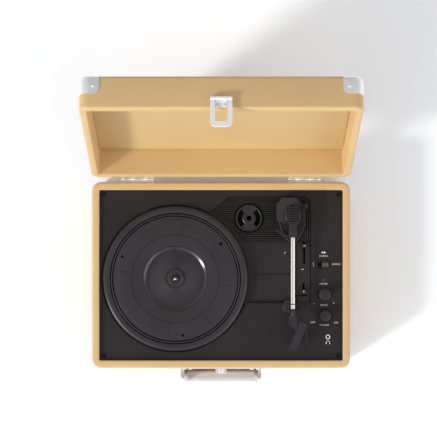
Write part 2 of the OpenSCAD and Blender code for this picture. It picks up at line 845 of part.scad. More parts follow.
// Screws of the deck and the motor
module deck_screws() {
    color([0.15, 0.15, 0.16]) {
        for (p = deck_screw_places) translate(p) screw(deck_t + screw_len);
        motor_screw_places() screw(floor_t + motor_screw_len);
    }
}

spindle_base = 2;
spindle_top = platter_z + spindle_rise;
washer_t = 1.3;
hub_r = 8;
hub_low = floor_z + washer_t + move_gap;
hub_top = platter_z - dish_depth + 0.8;
clip_t = 0.8;
clip_z = hub_top + move_gap;
groove_depth = 0.6;

// Fixed spindle with a flange under the deck, a clip groove and a round tip
module spindle() {
    tip = 1.2;
    color(nickel) difference() {
        translate([platter_cx, platter_y, 0]) union() {
            translate([0, 0, floor_under - spindle_base]) cylinder(r = spindle_r + 3, h = spindle_base);
            translate([0, 0, floor_under - spindle_base / 2])
                cylinder(r = spindle_r, h = spindle_top - tip - floor_under + spindle_base / 2);
            translate([0, 0, spindle_top - tip]) cylinder(r1 = spindle_r, r2 = spindle_r - tip, h = tip);
        }
        translate([platter_cx, platter_y, clip_z]) difference() {
            cylinder(r = spindle_r + over, h = clip_t);
            translate([0, 0, -over]) cylinder(r = spindle_r - groove_depth, h = clip_t + 2 * over);
        }
    }
}

// Slippery washer between the deck and the platter's hub
module thrust_washer() {
    color([0.9, 0.9, 0.86]) translate([platter_cx, platter_y, floor_z]) difference() {
        cylinder(r = hub_r, h = washer_t);
        translate([0, 0, -over]) cylinder(r = spindle_r + seat_gap, h = washer_t + 2 * over);
    }
}

// Open spring clip in the spindle's groove
module retaining_clip() {
    slot = spindle_r - groove_depth - 0.2;
    margin = 0.04;
    color(dark_plastic) translate([platter_cx, platter_y, clip_z + margin]) difference() {
        cylinder(r = spindle_r + 2.4, h = clip_t - 2 * margin);
        translate([0, 0, -over]) cylinder(r = spindle_r - groove_depth + margin, h = clip_t + 2 * over);
        translate([-slot, -2 * hub_r, -over]) cube([2 * slot, 2 * hub_r, clip_t + 2 * over]);
    }
}

// Platter: a beaded rim, a flat annulus with finger holes and radial lines, a dished middle and a belt ring
module platter() {
    top = platter_z;
    skirt_low = floor_z + 1.2;
    skirt_t = 3;
    under = top - platter_t - 0.6;
    bead = platter_r - 9;
    line_r = 60;
    ring_r = 22;
    boss_r = 14;
    line_count = 8;
    hole_count = 3;
    line_start = 37.5;
    hole_start = 37.5;
    color(dark_plastic) translate([platter_cx, platter_y, 0]) difference() {
        rotate_extrude($fn = 128) polygon([
            [spindle_r + run_gap, hub_low], [hub_r, hub_low], [hub_r, under - dish_depth],
            [dish_r - 4, under - dish_depth], [dish_r + 2, under],
            [belt_ring_r - skirt_t, under], [belt_ring_r - skirt_t, skirt_low],
            [belt_ring_r, skirt_low], [belt_ring_r, under],
            [platter_r - skirt_t, under], [platter_r - skirt_t, skirt_low], [platter_r, skirt_low],
            [platter_r, top - 3.2], [platter_r - 0.6, top - 2], [platter_r - 2.2, top - 1],
            [platter_r - 5, top - 0.5],
            [bead + 0.4, top - 0.3], [bead, top - 1.3], [bead - 0.9, top - 1.3], [bead - 1.2, top - 0.5],
            [bead - 1.9, top - 0.5], [bead - 2.2, top - 1.3], [bead - 3, top - 1.3], [bead - 3.4, top],
            [line_r + 0.5, top], [line_r + 0.2, top - 0.4], [line_r - 0.4, top - 0.4], [line_r - 0.7, top],
            [dish_r, top], [dish_r - 0.9, top - 0.9], [dish_r - 3, top - 0.6 * dish_depth],
            [dish_r - 9, top - 0.85 * dish_depth], [ring_r + 0.5, top - dish_depth],
            [ring_r, top - dish_depth + 0.3], [boss_r + 1, top - dish_depth], [boss_r, hub_top],
            [spindle_r + run_gap, hub_top]]);
        for (i = [0 : hole_count - 1]) rotate(hole_start + 360 / hole_count * i)
            translate([finger_hole_ring, 0, under - over])
                cylinder(r = finger_hole_r, h = platter_t + 4 * over);
        for (i = [0 : line_count - 1]) rotate(line_start + 360 / line_count * i)
            translate([line_r + 2, -0.3, top - 0.4]) cube([finger_hole_ring - line_r - 4, 0.6, over]);
    }
}

pulley_low = floor_z + 1;
belt_low = floor_z + 1.8;
belt_gap = 0.3;

// Direct current motor hung under the tray
module motor() {
    color(nickel) difference() {
        translate([motor_x, motor_y, 0]) union() {
            translate([0, 0, floor_under - motor_len]) cylinder(r = motor_r, h = motor_len);
            translate([0, 0, floor_under - motor_len - 2]) cylinder(r = 4, h = 2 + over);
        }
        translate([motor_x, motor_y, floor_under - motor_len / 2])
            cylinder(r = shaft_r + run_gap, h = motor_len);
        motor_screw_places() screw_hole(floor_t + motor_screw_len);
    }
}

// Pulley on the motor's shaft
module motor_pulley() {
    flange = 0.6;
    color([0.75, 0.66, 0.38]) translate([motor_x, motor_y, 0]) {
        translate([0, 0, floor_under - motor_len / 2 + move_gap])
            cylinder(r = shaft_r, h = pulley_low - floor_under + motor_len / 2);
        translate([0, 0, pulley_low]) cylinder(r = pulley_r + 1, h = flange);
        translate([0, 0, pulley_low]) cylinder(r = pulley_r, h = belt_h + 1.6);
    }
}

// Outline round the belt ring and the pulley at a given distance from them
module belt_outline(gap) {
    hull() {
        circle(belt_ring_r + gap, $fn = 96);
        translate([motor_ring, 0]) circle(pulley_r + gap, $fn = 32);
    }
}

// Rubber belt round the platter's ring and the pulley
module belt() {
    color(rubber) translate([platter_cx, platter_y, belt_low]) rotate(motor_angle) linear_extrude(belt_h)
        difference() {
            belt_outline(belt_gap + belt_t);
            belt_outline(belt_gap);
        }
}

// Tone arm

neck_h = 12;
neck_front_w = 10.2;
neck_reach = 31;
socket_len = 12;
plinth_below = 14.5;
plinth_top = arm_z - plinth_below;
turn_r = 12.5;
turn_t = 2.5;
stem_r = 5;
stem_len = 8;
fork_t = 2.6;
fork_half = 7;
fork_in = neck_w / 2 + move_gap;
collar_len = 8.9;
collar_r = 4;
collar_y = arm_cy - tube_reach;
tube_insert = 6;
insert_gap = 0.5;
elbow_y = collar_y - collar_len;
shell_top = arm_z + 4;
shell_low = arm_z - 2;
stylus_side = 0.9;
stylus_inset = 4;
stylus_x = arm_cx + stylus_side;
stylus_y = arm_cy - sqrt(stylus_reach * stylus_reach - stylus_side * stylus_side);
shell_x = stylus_x + (shell_len / 2 - stylus_inset) * sin(shell_angle);
shell_y = stylus_y + (shell_len / 2 - stylus_inset) * cos(shell_angle);
tip_z = platter_z + stylus_gap;
cart_low = tip_z + 2.6;
cue_right = 15.8;
cue_back = 12;
cue_rise = 6;
cue_x = arm_cx + cue_right;
cue_y = arm_cy + cue_back;
cue_z = plinth_top + cue_rise;
cue_pin_r = 1.5;
cue_w = 3;
cue_len = 24;

// Plan of the arm's housing, from the upright pivot
housing_left = 21.9;
housing_right = 14.7;
housing_back = 23.8;
housing_front = 13;
housing_side_front = 8;
housing_nose = 9;
back_bevel = 8;
bevel_y = 15;
hood_gap = 0.7;
hood_right = 4;
hood_side = 8;
hood_end = 16.5;
swing = 45;
fork_r = 11.4;
ear_half_w = 4;
ear_plate_t = 2.5;

// Fixed housing of the arm: a plinth, a hood on the left and back that clears the swinging neck, and an ear
module arm_base() {
    left = arm_cx - housing_left;
    right = arm_cx + housing_right;
    back = arm_cy + housing_back;
    side_front = arm_cy - housing_side_front;
    front = arm_cy - housing_front;
    ear_x = cue_x + cue_w / 2 + move_gap;
    color(dark_plastic) difference() {
        union() {
            translate([0, 0, floor_z]) linear_extrude(plinth_top - floor_z) polygon([
                [left, side_front], [left, arm_cy + bevel_y], [left + back_bevel, back],
                [right - back_bevel, back], [right, arm_cy + bevel_y], [right, side_front],
                [arm_cx + housing_nose, front], [arm_cx - housing_nose, front]]);
            translate([0, 0, floor_z]) linear_extrude(arm_z - neck_h / 2 - hood_gap - floor_z) polygon([
                [left, side_front], [left, arm_cy + bevel_y], [left + back_bevel, back],
                [arm_cx + hood_right, back], [arm_cx + hood_side, arm_cy + hood_end],
                [arm_cx, arm_cy], [arm_cx - fork_in, side_front]]);
            span_box([ear_x, cue_y - ear_half_w, floor_z],
                     [ear_x + ear_plate_t, cue_y + ear_half_w, cue_z + ear_half_w]);
            translate([cue_x + 0.5, cue_y, cue_z]) rod_x(cue_pin_r, cue_w + 3);
        }
        translate([arm_cx, arm_cy, plinth_top]) {
            translate([0, 0, -stem_len - move_gap])
                cylinder(r = stem_r + run_gap, h = stem_len + move_gap + over);
            cylinder(r = turn_r + move_gap, h = turn_t + 2 * move_gap);
            cylinder(r = fork_r, h = plinth_below);
            for (a = [0 : 15 : swing]) rotate(-a)
                span_box([-fork_in - move_gap, 0, 0],
                         [fork_in + move_gap, neck_len / 2 + 2 * move_gap, plinth_below]);
        }
    }
}

// Fork that turns on the base and holds the level pivot
module arm_yoke() {
    color(dark_plastic) translate([arm_cx, arm_cy, 0]) difference() {
        union() {
            translate([0, 0, plinth_top - stem_len])
                cylinder(r = stem_r, h = stem_len + move_gap + turn_t / 2);
            translate([0, 0, plinth_top + move_gap]) cylinder(r = turn_r, h = turn_t);
            for (s = [-1, 1]) {
                translate([s * (fork_in + fork_t / 2), 0, arm_z]) rod_x(fork_half - 2.5, fork_t);
                span_box([min(s * fork_in, s * (fork_in + fork_t)), 2.5 - fork_half, plinth_top + move_gap],
                         [max(s * fork_in, s * (fork_in + fork_t)), fork_half - 2.5, arm_z]);
            }
        }
        translate([0, 0, arm_z]) rod_x(arm_pin_r + seat_gap, 2 * turn_r + 2 * over);
    }
}

// Level pivot pin through the fork
module arm_pin() {
    color(nickel) translate([arm_cx, arm_cy, arm_z]) rod_x(arm_pin_r, 2 * (fork_in + fork_t));
}

// Ribbed neck that holds the tube
module arm_neck() {
    rib_count = 6;
    rib_h = 0.9;
    rib_pitch = (neck_len - 3) / rib_count;
    color(dark_plastic) translate([arm_cx, arm_cy, arm_z]) difference() {
        union() {
            translate([0, 0, -neck_h / 2]) round_box(neck_w, neck_len, neck_h, 2);
            span_box([-neck_front_w / 2, -neck_reach, 1 - neck_h / 2], [neck_front_w / 2, 0, neck_h / 2 - 1]);
            for (i = [0 : rib_count - 1])
                translate([0, (i - (rib_count - 1) / 2) * rib_pitch, neck_h / 2 + rib_h / 2 - 0.1])
                    cube([neck_w - 2, rib_pitch * 0.55, rib_h + 0.2], center = true);
        }
        rod_x(arm_pin_r + run_gap, neck_w + 2 * over);
        translate([0, -neck_reach - over, 0]) rod_y(tube_r + seat_gap, socket_len + over);
    }
}

// Bright tube of the arm
module arm_tube() {
    tube_wall = 0.7;
    back = arm_cy - neck_reach + socket_len - 1;
    front = collar_y - tube_insert;
    color([0.88, 0.87, 0.85]) translate([arm_cx, front, arm_z]) difference() {
        rod_y(tube_r, back - front);
        translate([0, -over, 0]) rod_y(tube_r - tube_wall, back - front + 2 * over);
    }
}

// Outline of the headshell's bar, turned and placed under the arm's end
module shell_place() {
    translate([shell_x, shell_y, 0]) rotate(-shell_angle) children();
}

// Headshell: collar, elbow, slanted bar and finger lift in one moulding
module headshell() {
    lift_w = 2.2;
    lift_len = 23;
    lift_t = 1.6;
    elbow_half = 5.4;
    elbow_right = 9.6;
    elbow_left = 13.7;
    elbow_toe = [3, 19.3];
    color(dark_plastic) difference() {
        union() {
            translate([arm_cx, elbow_y - over, arm_z]) rod_y(collar_r, collar_len + over);
            translate([0, 0, shell_low]) linear_extrude(shell_top - shell_low - 0.5) polygon([
                [arm_cx - elbow_half, elbow_y], [arm_cx + elbow_half, elbow_y],
                [arm_cx + elbow_half, elbow_y - elbow_right], [shell_x, shell_y],
                [arm_cx + elbow_toe[0], elbow_y - elbow_toe[1]],
                [arm_cx - elbow_half, elbow_y - elbow_left]]);
            shell_place() translate([0, 0, shell_low]) linear_extrude(shell_top - shell_low)
                round_rect(shell_w, shell_len, 1);
            shell_place() translate([shell_w / 2 - 2, shell_len / 2 - 3, arm_z + 1]) rotate(shell_angle + 3)
                span_box([0, -lift_len, 0], [lift_w, 0, lift_t]);
        }
        translate([arm_cx, collar_y - tube_insert - insert_gap, arm_z])
            rod_y(tube_r + seat_gap, tube_insert + insert_gap + over);
    }
}

// Cartridge under the headshell's front
module cartridge() {
    cart_w = 9;
    cart_len = 19;
    color(black_plastic) shell_place()
        translate([0, (cart_len - shell_len) / 2 + 0.5, cart_low])
            round_box(cart_w, cart_len, shell_low - cart_low, 0.8);
}

// Stylus holder and needle
module stylus() {
    holder_t = 1.2;
    holder_w = 4;
    color([0.75, 0.12, 0.10]) {
        shell_place() translate([0, 5 + stylus_inset - 1.5 - shell_len / 2, cart_low - holder_t])
            round_box(holder_w, 10, holder_t, 0.8);
        translate([stylus_x, stylus_y, tip_z])
            cylinder(r1 = 0.1, r2 = 0.5, h = cart_low - holder_t / 2 - tip_z);
    }
}

// Rest under the arm's collar, with a stop on its outer side
module arm_rest() {
    rest_y = collar_y - collar_len / 2 + 2;
    rest_r = 9.4;
    rest_left = 4.2;
    rest_back = 5.2;
    rest_z = arm_z - collar_r - move_gap;
    color(black_plastic) {
        translate([arm_cx - rest_left, rest_y + rest_back, deck_z]) cylinder(r = rest_r, h = 1.6);
        span_box([arm_cx - 4, rest_y - 3, deck_z], [arm_cx + 6.8, rest_y + 2, rest_z]);
        span_box([arm_cx + 4.6, rest_y - 3, deck_z], [arm_cx + 6.8, rest_y + 2, arm_z + 1]);
    }
}

// Cue lever on the right of the arm's base
module cue_lever() {
    color(dark_plastic) translate([cue_x, cue_y, cue_z]) difference() {
        union() {
            rod_x(cue_pin_r + 1.5, cue_w);
            span_box([-cue_w / 2, -cue_len, -1.4], [cue_w / 2, 0, 1.4]);
            translate([0, -cue_len, 0]) rod_x(2, cue_w);
        }
        rod_x(cue_pin_r + run_gap, cue_w + 2 * over);
    }
}

// Curved bar that lifts the arm, on a post that slides in the deck
module cue_lift() {
    bar_w = 3;
    post_below = 8;
    bar_t = 2.4;
    bar_top = arm_z - neck_h / 2 + 1 - move_gap - 0.2;
    bar_sweep = 54;
    color(dark_plastic) {
        translate([arm_cx, arm_cy, bar_top - bar_t]) rotate(lift_angle - bar_sweep / 2)
            rotate_extrude(angle = bar_sweep) translate([lift_r - bar_w / 2, 0]) square([bar_w, bar_t]);
        translate([lift_x, lift_y, floor_under - post_below])
            cylinder(r = lift_post_r, h = bar_top - bar_t / 2 - floor_under + post_below);
    }
}

// Controls

// Domed knob with the shaft that turns in its pot
module knob(y) {
    dome = 2.5;
    low = deck_z + 0.5;
    color(black_plastic) translate([knob_cx, y, 0]) rotate_extrude() polygon([
        [0, deck_under - pot_h + 1.5], [knob_shaft_r, deck_under - pot_h + 1.5], [knob_shaft_r, low],
        [knob_r, low], [knob_r - 0.4, low + knob_h - dome], [knob_r - 1, low + knob_h - dome * 0.45],
        [knob_r - 2.4, low + knob_h - dome * 0.12], [knob_r - 4, low + knob_h], [0, low + knob_h]]);
}
module volume_knob() { knob(knob_lower_cy); }
module pitch_knob() { knob(knob_upper_cy); }

// Pot under the deck that takes a knob's shaft
module pot(y) {
    color(nickel) translate([knob_cx, y, deck_under - pot_h]) difference() {
        cylinder(r = pot_r, h = pot_h);
        translate([0, 0, 1]) cylinder(r = knob_shaft_r + run_gap, h = pot_h);
    }
}
module volume_pot() { pot(knob_lower_cy); }
module pitch_pot() { pot(knob_upper_cy); }

cap_len = switch_w / 2 - 2 * move_gap;
cap_rest = switch_w / 4;
cap_wide = switch_d - 2 * move_gap;

// Body of the source switch under its window
module source_switch() {
    body_h = 8;
    color(black_plastic) translate([switch_cx, switch_cy, deck_under - body_h]) difference() {
        translate([0, 0, body_h / 2]) cube([switch_w + 6, switch_d + 4, body_h], center = true);
        translate([0, 0, body_h]) cube([switch_w - 2, 4, 2 * (body_h - 2)], center = true);
    }
}

// Sliding cap of the source switch, at its right hand stop
module source_cap() {
    rise = 1.8;
    color(dark_plastic) translate([switch_cx + cap_rest, switch_cy, 0]) {
        translate([0, 0, (deck_under + move_gap + deck_z + rise) / 2])
            cube([cap_len, cap_wide, deck_z + rise - deck_under - move_gap], center = true);
        translate([0, 0, deck_under - 1.5]) cube([3, 4 - 2 * move_gap, 5], center = true);
        for (i = [-1 : 1])
            translate([i * cap_len / 4, 0, deck_z + rise]) cube([0.8, cap_wide - 1, 1.2], center = true);
    }
}

// Lamp lens through the deck
module power_lamp() {
    color([0.8, 0.1, 0.08]) translate([switch_cx, lamp_cy, 0]) {
        translate([0, 0, deck_under - 1.5]) cylinder(r = lamp_r + 0.7, h = 1.5);
        translate([0, 0, deck_under - 1]) cylinder(r = lamp_r, h = deck_t + 1.3);
    }
}

// Headphone jack with its bushing through the deck
module headphone_jack() {
    body_h = 12;
    rim = 0.5;
    color([0.85, 0.84, 0.80]) translate([jack_cx, jack_cy, 0]) difference() {
        union() {
            translate([0, 0, deck_under - body_h / 2]) cube([12, 10, body_h], center = true);
            translate([0, 0, deck_under - 1]) cylinder(r = bushing_r, h = deck_t + rim + 1);
        }
        translate([0, 0, deck_under - body_h + 2]) cylinder(r = jack_r, h = body_h + deck_t + over);
    }
}

// Lever with a flat stem in a slot of the strip
module slide_lever(x, y) {
    tab = [7, 5, 5];
    color(black_plastic) translate([x, y, 0]) {
        translate([0, 0, strip_z + move_gap + tab[2] / 2]) cube(tab, center = true);
        translate([0, 0, (floor_under - 4 + strip_z + 1) / 2])
            cube([slot_wide - 2 * move_gap, 2 * stem_half, strip_z + 1 - floor_under + 4], center = true);
    }
}
module speed_lever() { slide_lever(speed_x, speed_cy); }
module stop_lever() { slide_lever(stop_x, stop_cy); }

// Disc that fills the large hole of a single, with two crescent slots
module adapter_45() {
    seat = floor_z - cup_depth + fit_gap;
    slot_out = adapter_r - 3.2;
    slot_in = 9.5;
    slot_angle = 100;
    color(dark_plastic) translate([adapter_cx, adapter_cy, seat]) difference() {
        rotate_extrude() polygon([
            [spindle_r + 0.1, 0], [adapter_r, 0], [adapter_r, adapter_h - 1.2], [adapter_r - 1, adapter_h],
            [adapter_r - 2.4, adapter_h], [adapter_r - 2.8, adapter_h - 0.8], [9, adapter_h - 0.8],
            [8, adapter_h - 0.2], [spindle_r + 0.1, adapter_h - 0.2]]);
        for (s = [0, 180]) rotate(s - slot_angle / 2) rotate_extrude(angle = slot_angle)
            translate([slot_in, -over]) square([slot_out - slot_in, adapter_h + 2 * over]);
    }
}

// Lid, drawn shut and then opened

plate_w = latch_window - 1;
plate_t = 1.2;
latch_y = -case_d / 2 - latch_out;
latch_z = lid_z + latch_pivot_h;

// Rivet places on the latch's plate
module latch_rivet_places() {
    for (s = [-1, 1])
        translate([s * plate_w * 0.28, -case_d / 2 - plate_t, lid_z + 4.2]) face_front() children();
}

// Four walls with a rebate for the top panel
module lid_frame() {
    color(tan_wrap) opened() difference() {
        translate([0, 0, lid_z]) round_box(case_w, case_d, lid_h, corner_r);
        translate([0, 0, lid_z - over]) round_box(inner_w, inner_d, lid_h + 2 * over, inner_r);
        translate([0, 0, lid_top - lid_panel_t])
            round_box(case_w - 2 * rebate_w, case_d - 2 * rebate_w, lid_panel_t + over, rebate_r);
        cap_rivet_places(cap_rivet_lid) rivet_hole();
        latch_rivet_places() rivet_hole();
        hinge_screw_places(1) screw_hole(leaf_t + screw_len);
    }
}

// Panel that closes the lid
module lid_panel() {
    color(tan_wrap) opened() translate([0, 0, lid_top - lid_panel_t])
        round_box(case_w - 2 * (rebate_w + fit_gap), case_d - 2 * (rebate_w + fit_gap), lid_panel_t,
                  rebate_r - fit_gap / 2);
}

// Steel caps on the lid's corners
module lid_corner_caps() {
    color(nickel) opened() difference() {
        corner_caps(lid_z, lid_top, true);
        cap_rivet_places(cap_rivet_lid) rivet_hole();
    }
}

// Rivets of the lid's caps and the latch
module lid_rivets() {
    color(nickel) opened() {
        cap_rivet_places(cap_rivet_lid) rivet();
        latch_rivet_places() rivet();
    }
}

// Screws of the hinges' lid leaves
module lid_screws() {
    color(nickel) opened() hinge_screw_places(1) screw(leaf_t + screw_len);
}

// Latch plate with the middle knuckle
module latch_plate() {
    edge = 0.8;
    knuckle_w = latch_window - 2 * move_gap;
    color(nickel) opened() difference() {
        union() {
            span_box([-plate_w / 2, -case_d / 2 - plate_t, lid_z + edge],
                     [plate_w / 2, -case_d / 2, latch_z + latch_eye_r]);
            translate([0, latch_y, latch_z]) rod_x(latch_eye_r, knuckle_w);
            span_box([-knuckle_w / 2, latch_y, latch_z + latch_eye_r - plate_t],
                     [knuckle_w / 2, -case_d / 2, latch_z + latch_eye_r]);
        }
        translate([0, latch_y, latch_z]) rod_x(latch_pin_r + seat_gap, latch_w);
        latch_rivet_places() rivet_hole();
    }
}

// Pin of the latch
module latch_pin() {
    color(nickel) opened() translate([0, latch_y, latch_z]) rod_x(latch_pin_r, latch_w);
}

// Swinging latch frame: two side bars with eyes and a round ended bar below
module latch_frame() {
    low = lid_z - latch_drop;
    bar_r = 7;
    color(nickel) opened() difference() {
        union() {
            translate([0, latch_y + latch_t / 2, 0]) rotate([90, 0, 0]) linear_extrude(latch_t) {
                translate([-latch_w / 2, low + bar_r]) square([latch_w, latch_z - low - bar_r]);
                translate([bar_r - latch_w / 2, low]) square([latch_w - 2 * bar_r, bar_r + over]);
                for (s = [-1, 1]) translate([s * (latch_w / 2 - bar_r), low + bar_r]) circle(bar_r);
            }
            for (s = [-1, 1]) translate([s * (latch_w + latch_window) / 4, latch_y, latch_z])
                rod_x(latch_eye_r, (latch_w - latch_window) / 2);
        }
        span_box([-latch_window / 2, latch_y - latch_t, low + latch_bar],
                 [latch_window / 2, latch_y + latch_t, latch_z + over]);
        translate([0, latch_y, latch_z]) rod_x(latch_pin_r + run_gap, latch_w + 2 * over);
    }
}

// Inside the base

board_side = 28;
board_front = 49.5;
board_x = right_in - board_side - board_w / 2;
board_y = front_in + board_front + board_d / 2;
board_t = 1.6;
post_h = 8;
board_z = bottom_top + post_h;
post_inset = 5;
post_r = 3;
post_peg_r = 1.5;
peg_skin = 1;
peg_lip = 0.8;
peg_head = 1;
post_places = [for (c = corners)
    [board_x + c[0] * (board_w / 2 - post_inset), board_y + c[1] * (board_d / 2 - post_inset)]];

// Speaker against the front wall: flange, basket, magnet and a dished cone
module speaker(s) {
    flange_t = 2;
    basket = 0.55 * speaker_d;
    color([0.2, 0.2, 0.21]) translate([s * speaker_cx, front_in, speaker_z]) rotate([-90, 0, 0])
        difference() {
            union() {
                cylinder(r = speaker_r, h = flange_t);
                cylinder(r1 = speaker_r - 3, r2 = speaker_r * 0.5, h = basket);
                translate([0, 0, basket - over]) cylinder(r = speaker_r * 0.6, h = speaker_d - basket + over);
            }
            translate([0, 0, -over])
                cylinder(r1 = speaker_r - 3, r2 = speaker_r * 0.28, h = basket - 2 + over);
        }
}
module speaker_left() { speaker(-1); }
module speaker_right() { speaker(1); }

// Larger parts on the board: radius and height of two capacitors, and the sizes of a chip and a heat sink
cap_large_r = 6;
cap_large_h = 16;
cap_small_r = 5;
cap_small_h = 13;
chip = [22, 14, 4];
heat_sink = [8, 26, 12];

// Circuit board with its larger parts
module main_board() {
    color(board_green) difference() {
        union() {
            translate([board_x, board_y, board_z]) round_box(board_w, board_d, board_t, 2);
            translate([board_x, board_y, board_z + board_t / 2]) {
                translate([-board_w * 0.22, board_d * 0.2, 0]) cylinder(r = cap_large_r, h = cap_large_h);
                translate([-board_w * 0.05, board_d * 0.22, 0]) cylinder(r = cap_small_r, h = cap_small_h);
                translate([0, -board_d * 0.18, chip[2] / 2]) cube(chip, center = true);
                translate([board_w * 0.26, 0, heat_sink[2] / 2]) cube(heat_sink, center = true);
            }
        }
        for (p = post_places)
            translate([p[0], p[1], board_z - over])
                cylinder(r = post_peg_r + seat_gap, h = board_t + 2 * over);
    }
}

// Plastic posts that hold the board on the bottom panel
module board_posts() {
    color([0.88, 0.88, 0.84]) for (p = post_places) translate([p[0], p[1], 0]) {
        translate([0, 0, bottom_top]) cylinder(r = post_r, h = board_z - bottom_top);
        translate([0, 0, foot_h + peg_skin + seat_gap])
            cylinder(r = post_peg_r, h = board_z + board_t - foot_h - peg_skin);
        translate([0, 0, board_z + board_t]) cylinder(r = post_peg_r + peg_lip, h = peg_head);
    }
}

socket_left = 20;
socket_pitch = 16;
inlet_right = 18;
socket_places = [for (i = [0, 1]) panel_x - socket_left + i * socket_pitch];
inlet_x = panel_x + inlet_right;
inlet_r = 5.5;

// Panel inside the back wall's opening, with holes for the sockets
module jack_panel() {
    color(black_plastic) difference() {
        translate([panel_x, panel_y, panel_z]) rotate([-90, 0, 0]) round_box(panel_w, panel_h, panel_t, 3);
        for (x = socket_places)
            translate([x, panel_y - over, panel_z]) rod_y(socket_r + seat_gap, panel_t + 2 * over);
        translate([inlet_x, panel_y - over, panel_z]) rod_y(inlet_r + seat_gap, panel_t + 2 * over);
        panel_screw_places() screw_hole(panel_t + screw_len);
    }
}

// Pair of line output sockets
module line_sockets() {
    barrel = 8;
    body = 11;
    neck_cut = 0.3;
    bore_r = 1.6;
    bore_len = 7;
    collar = 1.4;
    color([0.83, 0.68, 0.35]) for (x = socket_places) translate([x, panel_y, panel_z]) difference() {
        union() {
            rod_y(socket_r - neck_cut, panel_t + barrel);
            translate([0, panel_t, 0]) rod_y(socket_r, barrel);
            translate([0, -body, 0]) rod_y(socket_r + collar, body);
        }
        translate([0, panel_t + barrel - bore_len, 0]) rod_y(bore_r, bore_len + over);
    }
}

// Power inlet with its centre contact
module power_inlet() {
    body = [14, 12, 13];
    depth = 9;
    plug_r = 2.75;
    pin_r = 1;
    color(black_plastic) translate([inlet_x, panel_y, panel_z]) difference() {
        union() {
            rod_y(inlet_r, panel_t + 1);
            translate([0, -body[1] / 2, 0]) cube(body, center = true);
        }
        translate([0, panel_t + 1 - depth, 0]) difference() {
            rod_y(plug_r, depth + over);
            translate([0, -over, 0]) rod_y(pin_r, depth + over);
        }
    }
}

place() base_frame();
place() base_bottom();
place() corner_blocks();
place() feet();
place() base_corner_caps();
place() base_rivets();
place() hinge_base_leaves();
place() hinge_pins();
place() base_screws();
place() latch_catch();
place() handle_brackets();
place() handle_pins();
place() deck();
place() deck_screws();
place() spindle();
place() thrust_washer();
place() retaining_clip();
place() motor();
place() belt();
place() speaker_left();
place() speaker_right();
place() main_board();
place() board_posts();
place() jack_panel();
place() line_sockets();
place() power_inlet();
place() headphone_jack();
place() volume_pot();
place() pitch_pot();
place() source_switch();
place() power_lamp();
place() arm_base();
place() arm_rest();
place() lid_frame();
place() lid_panel();
place() lid_corner_caps();
place() lid_rivets();
place() hinge_lid_leaves();
place() lid_screws();
place() latch_plate();
place() latch_pin();
place() latch_frame();
place() handle_grip();
place() platter();
place() motor_pulley();
place() arm_yoke();
place() arm_pin();
place() arm_neck();
place() arm_tube();
place() headshell();
place() cartridge();
place() stylus();
place() cue_lever();
place() cue_lift();
place() volume_knob();
place() pitch_knob();
place() source_cap();
place() speed_lever();
place() stop_lever();
place() adapter_45();
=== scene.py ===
"""Looks of a suitcase record player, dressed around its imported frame.

Shapes are written in millimetres in the case's own frame: the middle of the base lies over
x = y = 0, the floor is z = 0, and the lid is drawn shut. Two matrices place them: CASE for what
stays with the base, and LID for what turns with the open lid.
"""
import json
from math import acos, cos, degrees, hypot, pi, radians, sin, sqrt

import bmesh
import bpy
from mathutils import Matrix, Vector


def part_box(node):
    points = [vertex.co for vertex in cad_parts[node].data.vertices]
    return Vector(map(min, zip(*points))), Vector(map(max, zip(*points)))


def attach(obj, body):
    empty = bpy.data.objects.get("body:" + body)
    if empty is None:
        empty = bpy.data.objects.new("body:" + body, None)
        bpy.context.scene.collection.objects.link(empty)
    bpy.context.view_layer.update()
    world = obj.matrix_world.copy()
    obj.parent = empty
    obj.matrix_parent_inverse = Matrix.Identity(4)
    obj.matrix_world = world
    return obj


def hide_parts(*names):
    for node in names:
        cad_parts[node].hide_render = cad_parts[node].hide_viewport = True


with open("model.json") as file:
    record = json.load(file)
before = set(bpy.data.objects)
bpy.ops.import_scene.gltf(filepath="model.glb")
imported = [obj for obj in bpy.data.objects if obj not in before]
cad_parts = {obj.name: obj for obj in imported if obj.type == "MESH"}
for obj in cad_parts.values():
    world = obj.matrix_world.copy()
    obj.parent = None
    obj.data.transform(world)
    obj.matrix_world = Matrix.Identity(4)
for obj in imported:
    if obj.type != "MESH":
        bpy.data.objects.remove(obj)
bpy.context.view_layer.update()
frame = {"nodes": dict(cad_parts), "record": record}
MM = 0.001


# Sizes from the frame


def node_box(node):
    """Lowest and highest corner of a node, in millimetres of the case's frame."""
    low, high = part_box(node)
    shift = Vector((0, CASE_Y, 0))
    return (Vector(low) - shift) / MM, (Vector(high) - shift) / MM


base_low, base_high = (Vector(corner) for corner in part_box("base_frame"))
CASE_Y = (base_low.y + base_high.y) / 2
CASE_W = (base_high.x - base_low.x) / MM
CASE_D = (base_high.y - base_low.y) / MM
FOOT_H = base_low.z / MM
RIM_Z = base_high.z / MM
joints = {joint["name"]: joint for joint in frame["record"]["behaviour"]["joints"]}
HINGE = Vector(joints["lid_hinge"]["pos_m"])
LID_OPEN = radians(joints["lid_hinge"]["range_deg"][0])
CASE = Matrix.Translation((0, CASE_Y, 0)) @ Matrix.Scale(MM, 4)
LID_TURN = Matrix.Translation(HINGE) @ Matrix.Rotation(LID_OPEN, 4, "X")
LID = LID_TURN @ Matrix.Translation(-HINGE) @ CASE

# Case, in millimetres
WALL = 10
END_WALL = 11
CORNER_R = 12.5
REBATE = 5
BOTTOM_T = 4
RIM_GAP = 0.6
LID_H = 44.8
LID_PANEL = 6
LID_Z = RIM_Z + RIM_GAP
LID_TOP = LID_Z + LID_H
LID_INSIDE = LID_TOP - LID_PANEL
EDGE_R = 3.2
LID_EDGE_R = 5.5
FOOT_EDGE_R = 2
INNER_EDGE_R = 1.6
DECK_Z = node_box("deck")[1].z
FLOOR_Z = DECK_Z - 4

